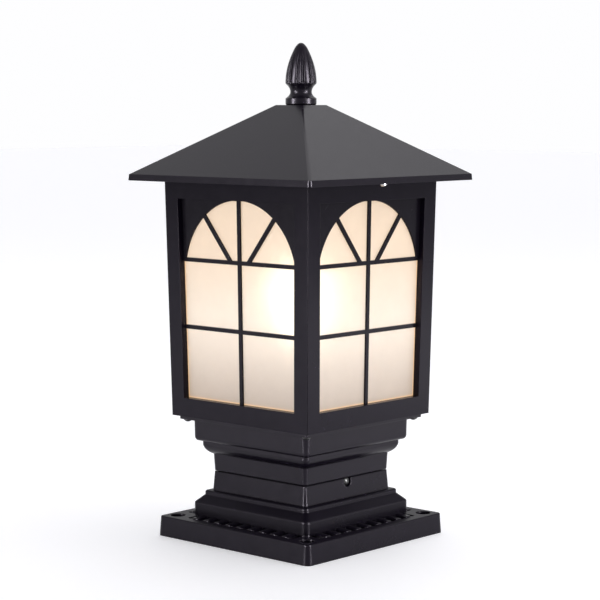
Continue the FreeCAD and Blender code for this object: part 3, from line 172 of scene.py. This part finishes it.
def finish(name, tones, rough, grain, depth, edge=None, metallic=0.0, patch=35,
           stretch=(1, 1, 1), **inputs):
    """A finish that drifts between two tones, with uneven gloss and a fine grain.

    Grain and patch are waves per metre, depth and edge are metres.
    """
    material, tree, shader, _ = new_material(name)
    shader.inputs["Metallic"].default_value = metallic
    for key, value in inputs.items():
        shader.inputs[key.replace("_", " ")].default_value = value
    drift = map_range(tree, noise(tree, patch, *DRIFT_NOISE), NOISE_MIDDLE, (0, 1))
    tree.links.new(blend(tree, drift, *tones), shader.inputs["Base Color"])
    clouds = noise(tree, patch * GLOSS_PER_PATCH, *GLOSS_NOISE, stretch)
    tree.links.new(map_range(tree, clouds, NOISE_MIDDLE, rough), shader.inputs["Roughness"])
    set_normal(tree, shader, noise(tree, grain, *GRAIN_NOISE, stretch), depth, edge)
    return material


CASTING_TONES = ((0.0060, 0.0042, 0.0092), (0.0074, 0.0052, 0.0112))
GRILLE_TONES = ((0.0056, 0.0042, 0.0080), (0.0070, 0.0052, 0.0098))
CASTING_TINT = (0.94, 0.87, 1.0, 1)
CASTING_LEVEL = 0.14


def casting(name, edge=None, tones=CASTING_TONES, rough=(0.21, 0.27), grain=1300,
            depth=0.0000015, level=CASTING_LEVEL):
    """Black paint on metal, with a low specular level that keeps it dark in a white room."""
    return finish(name, tones, rough, grain, depth, edge, Specular_IOR_Level=level,
                  Specular_Tint=CASTING_TINT)


# Painted shade under the eave: the specular level there, and how far over the frames' foot the gloss
# begins to fall.
EAVE_SHADE_LEVEL = 0.075
UNSHADED_HEIGHT = 0.11
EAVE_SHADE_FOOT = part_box("side_frame_front")[0].z + UNSHADED_HEIGHT
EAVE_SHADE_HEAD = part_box("side_frame_front")[1].z


def paint_eave_shade(material):
    """Paint the eave's shade: the gloss falls off with height, to about half of it under the eave."""
    tree = material.node_tree
    _, _, height = axes_of(tree, object_place(tree))
    levels = (CASTING_LEVEL, EAVE_SHADE_LEVEL)
    level = map_range(tree, height, (EAVE_SHADE_FOOT, EAVE_SHADE_HEAD), levels, smooth=True)
    tree.links.new(level, shader_of(material).inputs["Specular IOR Level"])


# Z of the surface's normal where the painted shade on tops begins, and where it is full.
FACING_UP = (0.35, 0.6)
TOP_SHADE_LEVEL = 0.05
UPRIGHT_ROUGH = 0.2
TOP_ROUGH = 0.38


def paint_top_shade(material):
    """Painted shade on tops: less gloss where the surface faces up, and more roughness there."""
    tree = material.node_tree
    shader = shader_of(material)
    geometry = tree.nodes.new("ShaderNodeNewGeometry")
    _, _, up = axes_of(tree, geometry.outputs["Normal"])
    level = map_range(tree, up, FACING_UP, (CASTING_LEVEL, TOP_SHADE_LEVEL), smooth=True)
    tree.links.new(level, shader.inputs["Specular IOR Level"])
    rough_by_facing = map_range(tree, up, FACING_UP, (UPRIGHT_ROUGH, TOP_ROUGH), smooth=True)
    own_rough = shader.inputs["Roughness"].links[0].from_socket
    tree.links.new(arithmetic(tree, "MAXIMUM", own_rough, rough_by_facing), shader.inputs["Roughness"])


# ---- Lit glass --------------------------------------------------------------------------------

GLASS_IOR = 1.45
GLASS_CLEAR = 0.3
GLASS_ROUGH = (0.37, 0.43)
GLASS_TONES = ((0.48, 0.43, 0.38), (0.45, 0.40, 0.35))
GLASS_CLOUDS = (55, 4.0, 0.6)
GLASS_GRAIN = 1400
GLASS_DEPTH = 0.00002
GLASS_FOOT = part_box("glass_pane_front")[0].z
GLASS_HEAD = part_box("glass_pane_front")[1].z
# Shares of the pane's height, and the colour of the painted glow there, which stands for the bulb's
# light through the glass.
GLASS_GLOW = (
    (0.0, (0.21, 0.165, 0.13)), (0.14, (0.26, 0.215, 0.18)), (0.34, (0.50, 0.445, 0.385)),
    (0.52, (0.43, 0.375, 0.31)), (0.72, (0.44, 0.335, 0.235)), (1.0, (0.40, 0.30, 0.20)))
# An amber glow painted along the metal at the window's sides and sill.
AMBER_GLOW = (0.55, 0.33, 0.15)
AMBER_REACH = 0.0022
# How far the pane reaches behind the frame on every side of the window.
RABBET = 0.0032
PANE_RIM = 0.002
PANE_HALVES = half_widths([vertex.co for vertex in NODES["glass_pane_front"].data.vertices],
                          GLASS_FOOT, GLASS_HEAD, PANE_RIM)
WINDOW_HALVES = [half - RABBET for half in PANE_HALVES]
WINDOW_SILL = GLASS_FOOT + RABBET


def glow_at(tree, share):
    """The colour of a pane's glow at a share of its height."""
    ramp = tree.nodes.new("ShaderNodeValToRGB")
    ramp.color_ramp.interpolation = "B_SPLINE"
    stops = ramp.color_ramp.elements
    while len(stops) < len(GLASS_GLOW):
        stops.new(0.5)
    for stop, (position, colour) in zip(stops, GLASS_GLOW):
        stop.position = position
        stop.color = (*colour, 1)
    tree.links.new(share, ramp.inputs["Fac"])
    return ramp.outputs["Color"]


def beside_metal(tree, x, y, height, share):
    """Where the painted amber glow lies: 1 at the window's sides and sill, 0 from AMBER_REACH away from
    them.
    """
    # A pane lies further from the axis than it reaches to either side, so the smaller runs across it.
    sizes = [arithmetic(tree, "ABSOLUTE", value) for value in (x, y)]
    across = arithmetic(tree, "MINIMUM", *sizes)
    half = map_range(tree, share, (0, 1), WINDOW_HALVES)
    left = arithmetic(tree, "SUBTRACT", half, across)
    beside = map_range(tree, left, (0.0, AMBER_REACH), (1.0, 0.0), smooth=True)
    above_sill = (WINDOW_SILL, WINDOW_SILL + AMBER_REACH)
    below = map_range(tree, height, above_sill, (1.0, 0.0), smooth=True)
    return arithmetic(tree, "MAXIMUM", beside, below)


def glazing(name):
    """Frosted glass with the bulb's light painted into its emission: dimmest at the sill, warmest in
    the arch, amber at the metal.
    """
    material, tree, shader, _ = new_material(name)
    shader.inputs["IOR"].default_value = GLASS_IOR
    shader.inputs["Transmission Weight"].default_value = GLASS_CLEAR
    shader.inputs["Emission Strength"].default_value = 1.0
    clouds = noise(tree, *GLASS_CLOUDS)
    tree.links.new(map_range(tree, clouds, NOISE_MIDDLE, GLASS_ROUGH), shader.inputs["Roughness"])
    drift = map_range(tree, clouds, NOISE_MIDDLE, (0, 1))
    tree.links.new(blend(tree, drift, *GLASS_TONES), shader.inputs["Base Color"])
    set_normal(tree, shader, noise(tree, GLASS_GRAIN), GLASS_DEPTH)
    x, y, height = axes_of(tree, object_place(tree))
    share = map_range(tree, height, (GLASS_FOOT, GLASS_HEAD), (0, 1))
    amber_glow_share = beside_metal(tree, x, y, height, share)
    tree.links.new(blend(tree, amber_glow_share, glow_at(tree, share), AMBER_GLOW), shader.inputs["Emission Color"])
    return material


OPAL_COLOUR = (0.9, 0.88, 0.84, 1)
OPAL_ROUGH = 0.35
BULB_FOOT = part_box("bulb_glass")[0].z
BULB_NECK = 0.045
BULB_LIGHT = 36.0
BULB_NECK_COLOUR = (0.22, 0.16, 0.10)
BULB_COLOUR = (1.0, 0.88, 0.71)


def lit_opal(name):
    """The bulb's opal glass, lit: dim at its foot and in full light above its neck."""
    material, tree, shader, _ = new_material(name)
    shader.inputs["Base Color"].default_value = OPAL_COLOUR
    shader.inputs["Roughness"].default_value = OPAL_ROUGH
    shader.inputs["Emission Strength"].default_value = BULB_LIGHT
    _, _, height = axes_of(tree, object_place(tree))
    rise = map_range(tree, height, (BULB_FOOT, BULB_FOOT + BULB_NECK), (0, 1), smooth=True)
    colour = blend(tree, rise, BULB_NECK_COLOUR, BULB_COLOUR)
    tree.links.new(colour, shader.inputs["Emission Color"])
    return material


# ---- The finish of each slot and node -----------------------------------------------------------

FINISHES = {
    "black_casting": casting("black_casting", edge=0.0007),
    "black_grille": casting("black_grille", edge=0.0005, tones=GRILLE_TONES, rough=(0.22, 0.28),
                            grain=1500),
    "black_screw": finish("black_screw", ((0.012, 0.012, 0.013), (0.018, 0.018, 0.019)), (0.3, 0.42),
                          grain=2500, depth=0.000008, edge=0.0002),
    "steel_screw": finish("steel_screw", ((0.62, 0.62, 0.64), (0.52, 0.52, 0.55)), (0.18, 0.3),
                          grain=2200, depth=0.000008, edge=0.0002, metallic=1.0, stretch=(1, 1, 4)),
    "zinc_sheet": finish("zinc_sheet", ((0.55, 0.56, 0.58), (0.44, 0.46, 0.5)), (0.32, 0.5),
                         grain=500, depth=0.00002, edge=0.0003, metallic=1.0, patch=60),
    "seal_rubber": finish("seal_rubber", ((0.012, 0.012, 0.012), (0.02, 0.02, 0.02)), (0.7, 0.85),
                          grain=1800, depth=0.00003),
    "holder_ceramic": finish("holder_ceramic", ((0.86, 0.85, 0.8), (0.8, 0.79, 0.75)), (0.12, 0.25),
                             grain=700, depth=0.00001, edge=0.0005, Coat_Weight=0.5),
    "plain_brass": finish("plain_brass", ((0.72, 0.52, 0.22), (0.6, 0.42, 0.17)), (0.22, 0.36),
                          grain=1500, depth=0.00001, edge=0.0002, metallic=1.0),
    "cap_metal": finish("cap_metal", ((0.75, 0.75, 0.76), (0.66, 0.66, 0.68)), (0.2, 0.34),
                        grain=1500, depth=0.00001, edge=0.0002, metallic=1.0),
    "block_plastic": finish("block_plastic", ((0.84, 0.84, 0.8), (0.78, 0.78, 0.74)), (0.4, 0.55),
                            grain=900, depth=0.00001, edge=0.0003),
    "brown_cover": finish("brown_cover", ((0.15, 0.06, 0.025), (0.12, 0.05, 0.02)), (0.4, 0.5),
                          grain=1500, depth=0.00001),
    "blue_cover": finish("blue_cover", ((0.04, 0.12, 0.42), (0.03, 0.1, 0.36)), (0.4, 0.5),
                         grain=1500, depth=0.00001),
    "earth_cover": finish("earth_cover", ((0.12, 0.42, 0.06), (0.75, 0.68, 0.05)), (0.4, 0.5),
                          grain=1500, depth=0.00001, patch=120),
    "frosted_glass": glazing("frosted_glass"),
    "bulb_white": lit_opal("bulb_white"),
}
FRAME_FINISH = casting("black_frame", edge=0.0007)
BASE_FINISH = casting("black_base", edge=0.0022)
# Painted sheen: the neck's copy of the paint has a higher specular level, so its reflections are
# lighter than on the other castings.
NECK_SHEEN_FINISH = casting("black_neck_sheen", edge=0.0012, level=0.22)
TURNED_FINISH = casting("black_turned", rough=(0.27, 0.31), grain=600, depth=0.0000004)
# The frames and the grille get painted shade that deepens towards the eave.
paint_eave_shade(FRAME_FINISH)
paint_eave_shade(FINISHES["black_grille"])
# The base's upward faces get painted shade, their gloss turned down.
paint_top_shade(BASE_FINISH)
OWN_FINISHES = {
    "pedestal_base": BASE_FINISH, "neck_casting": NECK_SHEEN_FINISH,
    "side_frame_front": FRAME_FINISH, "side_frame_right": FRAME_FINISH,
    "side_frame_back": FRAME_FINISH, "side_frame_left": FRAME_FINISH,
}

for part in frame["record"]["subparts"]:
    node = NODES[part["node"]]
    node.data.materials.clear()
    node.data.materials.append(OWN_FINISHES.get(part["node"]) or FINISHES[part["material_slot"]])


# ---- Meshes ---------------------------------------------------------------------------------

def new_piece(name, mesh, material, body, smooth=True):
    """A mesh as a piece with its finish, which rides on a body."""
    bmesh.ops.recalc_face_normals(mesh, faces=mesh.faces)
    mesh.normal_update()
    data = bpy.data.meshes.new(name)
    mesh.to_mesh(data)
    mesh.free()
    for face in data.polygons:
        face.use_smooth = smooth
    data.materials.append(material)
    piece = bpy.data.objects.new(name, data)
    bpy.context.scene.collection.objects.link(piece)
    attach(piece, body)
    return piece


def add_points(mesh, points):
    """The points as vertices of the mesh."""
    return [mesh.verts.new(point) for point in points]


def skin(mesh, rows, closed):
    """Quads between rows that have the same number of points; closed rows are rings."""
    for low, high in zip(rows, rows[1:]):
        count = len(low)
        for index in range(count if closed else count - 1):
            after = (index + 1) % count
            mesh.faces.new((low[index], low[after], high[after], high[index]))


def close_tube(mesh, rings):
    """A solid from rings: the skin between them and a face at each end."""
    skin(mesh, rings, closed=True)
    mesh.faces.new(list(reversed(rings[0])))
    mesh.faces.new(rings[-1])


# ---- Finial: the bud has seven wide ribs and seven between them that a groove splits ------------

FINIAL_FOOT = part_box("finial")[0].z
# Radius and height over the foot, in mm.
FINIAL_OUTLINE = (
    (13.9, 0.0), (14.6, 0.5), (15.0, 1.4), (15.0, 5.7), (14.9, 6.3), (14.4, 6.8), (12.5, 8.3),
    (10.9, 10.5), (10.4, 12.8), (10.9, 15.4), (12.4, 18.0), (14.2, 19.8), (15.0, 20.9), (15.1, 22.2),
    (15.05, 24.2), (14.55, 29.7), (13.45, 35.5), (11.85, 41.2), (9.75, 46.9), (7.1, 52.7), (5.75, 55.2),
    (4.25, 57.2), (2.6, 58.8), (1.2, 59.45), (0.15, 59.65))
STUD_BORE_RADIUS = 3.1
STUD_BORE_DEPTH = 12.0
OUTLINE_STEPS = 5
FINIAL_SEGMENTS = 280
RIB_PAIRS = 7
WIDE_RIB = math.radians(-24.5)
# Heights over the foot, then how far a rib's crown and the grooves go in, all in mm.
RIB_FOOT = 20.6
RIB_TIP = 52.5
RIB_RUN_IN = 1.0
RIB_CROWN = 0.2
GROOVE_DEPTH = 1.5
SPLIT_DEPTH = 0.6
# A pair of ribs is 1 across, so half a rib is a quarter. A groove's wall starts at a share of that.
HALF_RIB = 0.25
SPLIT_WIDTH = 0.028
GROOVE_FROM = 0.75
# Where the bud's radius is smaller than this, its grooves are shallower.
FULL_GROOVE_RADIUS = 9
THINNEST = 0.1


def smooth_outline(points, steps):
    """More points on a smooth curve through the given ones."""
    ends = [points[0], *points, points[-1]]
    result = []
    for index in range(1, len(ends) - 2):
        before, first, second, after = ends[index - 1:index + 3]
        for step in range(steps):
            t = step / steps
            result.append(tuple(
                0.5 * (2 * b + (c - a) * t + (2 * a - 5 * b + 4 * c - d) * t * t
                       + (3 * b - a - 3 * c + d) * t ** 3)
                for a, b, c, d in zip(before, first, second, after)))
    result.append(points[-1])
    return result


def groove_at(angle, height):
    """How deep the surface lies under the bud's outline, in mm, at an angle and a height."""
    if height < RIB_FOOT or height > RIB_TIP:
        return 0.0
    run_in = min(1.0, (height - RIB_FOOT) / RIB_RUN_IN)
    run_out = 1 - ((height - RIB_FOOT) / (RIB_TIP - RIB_FOOT)) ** 3
    turn = (angle - WIDE_RIB) / (2 * math.pi / RIB_PAIRS) % 1.0
    across = min(turn, 1 - turn)
    in_split_rib = across >= HALF_RIB
    from_middle = 2 * HALF_RIB - across if in_split_rib else across
    edge = from_middle / HALF_RIB
    wall = max(0.0, (edge - GROOVE_FROM) / (1 - GROOVE_FROM))
    depth = RIB_CROWN * edge ** 2 + (GROOVE_DEPTH - RIB_CROWN) * wall
    if in_split_rib:
        depth += SPLIT_DEPTH * math.exp(-(from_middle / SPLIT_WIDTH) ** 2)
    return depth * run_in * run_out


def finial_ring(radius, height):
    """The points round the finial at a radius and height of its outline."""
    points = []
    for segment in range(FINIAL_SEGMENTS):
        angle = 2 * math.pi * segment / FINIAL_SEGMENTS
        depth = groove_at(angle, height) * min(1.0, radius / FULL_GROOVE_RADIUS)
        reach = max(radius - depth, THINNEST) * MM
        points.append((reach * math.cos(angle), reach * math.sin(angle), FINIAL_FOOT + height * MM))
    return points


def make_finial():
    """The ribbed finial, with the bore for its stud, in place of the plain CAD one."""
    mesh = bmesh.new()
    bore = [(STUD_BORE_RADIUS, STUD_BORE_DEPTH), (STUD_BORE_RADIUS, 0.0)]
    outline = bore + smooth_outline(FINIAL_OUTLINE, OUTLINE_STEPS)
    close_tube(mesh, [add_points(mesh, finial_ring(*point)) for point in outline])
    piece = new_piece("finial_ribbed", mesh, TURNED_FINISH, "roof_assembly")
    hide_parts("finial")


make_finial()


# ---- Low ribs between the flutes of the plate, all round the foot; lengths in mm ----------------

PLATE_TOP = 19.5
FOOT_FACE = 75.4
RIB_PITCH = 14.8
RIB_COUNT = 9
RIB_REACH = 13.6
RIB_HALF_WIDTH = 4.7
RIB_HEIGHT = 2.4
RIB_FALL = 1.1
RIB_INTO_FOOT = 0.4
RIB_INTO_PLATE = 0.15
# Share of a rib's length from which it narrows to its nose.
NOSE_FROM = 0.62
NOSE_POWER = 0.6
CROWN_POWER = 3.2
RIB_ACROSS = 14
RIB_ALONG = 16
# In metres, and far below the distance of any two points that aren't the same one.
MERGE_DISTANCE = 1e-6


def rib_row(middle, share):
    """The points across a rib of the plate's front at a share of its length."""
    out = FOOT_FACE - RIB_INTO_FOOT + RIB_REACH * math.sin(share * math.pi / 2)
    into_nose = max(0.0, (share - NOSE_FROM) / (1 - NOSE_FROM))
    narrow = math.sqrt(max(0.0, 1 - into_nose ** 2))
    height = (RIB_HEIGHT - RIB_FALL * share) * narrow ** NOSE_POWER
    row = []
    for index in range(RIB_ACROSS + 1):
        side = -1 + 2 * index / RIB_ACROSS
        x = middle + side * RIB_HALF_WIDTH * narrow
        z = PLATE_TOP - RIB_INTO_PLATE + height * (1 - abs(side) ** CROWN_POWER)
        row.append(Vector((x * MM, -out * MM, z * MM)))
    return row


def close_rib(mesh, rows):
    """The rib's end in the foot and its underside in the plate, with sharp edges for the shading."""
    hidden = [mesh.faces.new(rows[0])]
    for row, after in zip(rows, rows[1:]):
        hidden.append(mesh.faces.new((row[0], after[0], after[-1], row[-1])))
    for face in hidden:
        for rim in face.edges:
            rim.smooth = False


def make_plate_ribs():
    """A row of ribs along each side of the plate."""
    mesh = bmesh.new()
    for turn in QUARTER_TURNS:
        for number in range(RIB_COUNT):
            middle = (number - (RIB_COUNT - 1) / 2) * RIB_PITCH
            rows = []
            for step in range(RIB_ALONG + 1):
                points = rib_row(middle, step / RIB_ALONG)
                rows.append(add_points(mesh, [turn @ point for point in points]))
            skin(mesh, rows, closed=False)
            close_rib(mesh, rows)
    bmesh.ops.remove_doubles(mesh, verts=mesh.verts, dist=MERGE_DISTANCE)
    new_piece("plate_ribs", mesh, FINISHES["black_casting"], "pedestal")


make_plate_ribs()


# ---- Dark beads down the inside corners, put there to keep the bulb's light out of the seams and the seams in shade -----

BEAD_LEG = 3.0 * MM
BEAD_OVERLAP = 0.1 * MM
BEAD_STEPS = 4
BEAD_ENDS = 9 * MM
# How thick the wall of a side frame is beside its corner.
SIDE_SKIN = 4.5 * MM
SIDE_RIM = 1 * MM


def make_corner_beads():
    """Four quarter-round beads that follow the lean of the side frames."""
    frame_points = [vertex.co for vertex in NODES["side_frame_front"].data.vertices]
    foot = min(point.z for point in frame_points)
    head = max(point.z for point in frame_points)
    half_foot, half_head = half_widths(frame_points, foot, head, SIDE_RIM)
    mesh = bmesh.new()
    for turn in QUARTER_TURNS:
        rings = []
        for level in (foot + BEAD_ENDS, head - BEAD_ENDS):
            share = (level - foot) / (head - foot)
            corner = half_foot + (half_head - half_foot) * share - SIDE_SKIN + BEAD_OVERLAP
            points = [(corner, corner)]
            for step in range(BEAD_STEPS + 1):
                swing = math.pi / 2 * step / BEAD_STEPS
                x = corner - BEAD_LEG * math.cos(swing)
                points.append((x, corner - BEAD_LEG * math.sin(swing)))
            rings.append(add_points(mesh, [turn @ Vector((x, y, level)) for x, y in points]))
        close_tube(mesh, rings)
    new_piece("corner_beads", mesh, FINISHES["seal_rubber"], "head", smooth=False)


make_corner_beads()


# ---- Camera, as fitted to the lantern's outline in the photo ------------------------------------

AZIMUTH = math.radians(42.272)
CAMERA_TURN = math.radians(42.300)
PITCH = math.radians(5.788)
ROLL = math.radians(0.015)
DISTANCE = 1.92134
CAMERA_HEIGHT = 0.42629
FOCAL_PIXELS = 1980.228
PHOTO_PIXELS = 600
SENSOR = 36.0
CLIP_START = 0.05
CLIP_END = 60.0


def around(azimuth, distance, height):
    """A place at an azimuth, which turns from the front towards the right."""
    return Vector((distance * math.sin(azimuth), -distance * math.cos(azimuth), height))


def make_camera():
    """The scene's camera, at the photo's view."""
    data = bpy.data.cameras.new("camera")
    data.sensor_width = SENSOR
    data.lens = FOCAL_PIXELS / PHOTO_PIXELS * SENSOR
    data.clip_start = CLIP_START
    data.clip_end = CLIP_END
    camera = bpy.data.objects.new("camera", data)
    bpy.context.scene.collection.objects.link(camera)
    look = (Matrix.Rotation(CAMERA_TURN, 4, "Z") @ Matrix.Rotation(math.pi / 2 - PITCH, 4, "X")
            @ Matrix.Rotation(ROLL, 4, "Z"))
    camera.matrix_world = Matrix.Translation(around(AZIMUTH, DISTANCE, CAMERA_HEIGHT)) @ look
    bpy.context.scene.camera = camera


make_camera()


# ---- Floor, background and lamps ----------------------------------------------------------------

BACKGROUND = (0.99, 0.99, 1, 1)
FLOOR_HALF = 12.0
FLOOR_COLOUR = (0.80, 0.80, 0.815, 1)
FLOOR_ROUGH = 0.6
FLOOR_LEVEL = 0.1
FLOOR_GLOW = 0.35
STUDIO_COLOUR = (0.96, 0.96, 1.0, 1)
# The side that most of the studio's light comes from. A direction's dot product with it lies in the
# range STUDIO_TOWARDS, or past it, and sets a strength in the range STUDIO_STRENGTH.
STUDIO_WHITE = (-0.10, 0.72, 0.68)
STUDIO_TOWARDS = (-0.35, 0.85)
STUDIO_STRENGTH = (0.25, 1.0)
AIM = Vector((0, 0, 0.24))
# Name, azimuth in degrees, height, distance, width and tallness in metres, radiance, and whether
# only gloss sees the lamp. The strips make the lines of light on the upright corners.
LAMPS = (
    ("strip_left", -18, 0.35, 2.2, 0.38, 0.9, 78, True),
    ("strip_right", 102, 0.35, 2.2, 0.38, 0.9, 95, True),
    ("strip_left_high", -12, 1.05, 2.2, 0.6, 0.8, 40, True),
    ("strip_right_high", 93, 1.05, 2.2, 0.6, 0.8, 44, True),
    ("panel_left", -42, 0.06, 0.85, 0.7, 0.12, 0.35, False),
    ("panel_right", 138, 0.07, 0.85, 0.7, 0.14, 0.9, False),
    ("softbox_right", 110, 1.6, 2.0, 1.2, 1.2, 1.4, False),
    ("softbox_top", 200, 2.6, 1.2, 2.4, 2.4, 0.75, False),
)


def seen_directly(tree):
    """1 for what the camera, gloss and glass see, 0 for what lights the scene."""
    path = tree.nodes.new("ShaderNodeLightPath")
    shiny = arithmetic(tree, "MAXIMUM", path.outputs["Is Camera Ray"], path.outputs["Is Glossy Ray"])
    return arithmetic(tree, "MAXIMUM", shiny, path.outputs["Is Transmission Ray"])


def make_floor():
    """A pale floor that takes the lantern's shadow and runs on into the white behind it."""
    mesh = bmesh.new()
    bmesh.ops.create_grid(mesh, x_segments=1, y_segments=1, size=FLOOR_HALF)
    data = bpy.data.meshes.new("studio_floor")
    mesh.to_mesh(data)
    mesh.free()
    material, tree, shader, output = new_material("studio_floor")
    shader.inputs["Base Color"].default_value = FLOOR_COLOUR
    shader.inputs["Roughness"].default_value = FLOOR_ROUGH
    shader.inputs["Specular IOR Level"].default_value = FLOOR_LEVEL
    glow = tree.nodes.new("ShaderNodeEmission")
    glow.inputs["Color"].default_value = BACKGROUND
    glow.inputs["Strength"].default_value = FLOOR_GLOW
    lifted = tree.nodes.new("ShaderNodeAddShader")
    tree.links.new(shader.outputs["BSDF"], lifted.inputs[0])
    tree.links.new(glow.outputs["Emission"], lifted.inputs[1])
    whole = tree.nodes.new("ShaderNodeMixShader")
    tree.links.new(seen_directly(tree), whole.inputs["Fac"])
    tree.links.new(shader.outputs["BSDF"], whole.inputs[1])
    tree.links.new(lifted.outputs["Shader"], whole.inputs[2])
    tree.links.new(whole.outputs["Shader"], output.inputs["Surface"])
    data.materials.append(material)
    floor = bpy.data.objects.new("studio_floor", data)
    bpy.context.scene.collection.objects.link(floor)


def make_world():
    """White to look at; what it lends as light is strongest from behind and above."""
    world = bpy.data.worlds.new("studio")
    bpy.context.scene.world = world
    world.use_nodes = True
    tree = world.node_tree
    tree.nodes.clear()
    output = tree.nodes.new("ShaderNodeOutputWorld")
    place = tree.nodes.new("ShaderNodeTexCoord")
    towards = tree.nodes.new("ShaderNodeVectorMath")
    towards.operation = "DOT_PRODUCT"
    towards.inputs[1].default_value = STUDIO_WHITE
    tree.links.new(place.outputs["Generated"], towards.inputs[0])
    strength = map_range(tree, towards.outputs["Value"], STUDIO_TOWARDS, STUDIO_STRENGTH, smooth=True)
    studio = tree.nodes.new("ShaderNodeBackground")
    studio.inputs["Color"].default_value = STUDIO_COLOUR
    tree.links.new(strength, studio.inputs["Strength"])
    white = tree.nodes.new("ShaderNodeBackground")
    white.inputs["Color"].default_value = BACKGROUND
    white.inputs["Strength"].default_value = 1.0
    mix = tree.nodes.new("ShaderNodeMixShader")
    tree.links.new(seen_directly(tree), mix.inputs["Fac"])
    tree.links.new(studio.outputs["Background"], mix.inputs[1])
    tree.links.new(white.outputs["Background"], mix.inputs[2])
    tree.links.new(mix.outputs["Shader"], output.inputs["Surface"])


def make_lamp(name, azimuth, height, distance, width, tallness, radiance, gloss_only):
    """An area lamp that stands at an azimuth and faces the lantern."""
    lamp = bpy.data.lights.new(name, "AREA")
    lamp.shape = "RECTANGLE"
    lamp.size = width
    lamp.size_y = tallness
    lamp.energy = radiance * width * tallness * math.pi
    holder = bpy.data.objects.new(name, lamp)
    holder.location = around(math.radians(azimuth), distance, height)
    holder.rotation_euler = (AIM - holder.location).to_track_quat("-Z", "Y").to_euler()
    holder.visible_diffuse = not gloss_only
    holder.visible_transmission = not gloss_only
    bpy.context.scene.collection.objects.link(holder)


make_floor()
make_world()
for lamp in LAMPS:
    make_lamp(*lamp)

bpy.context.scene.view_settings.view_transform = "Standard"
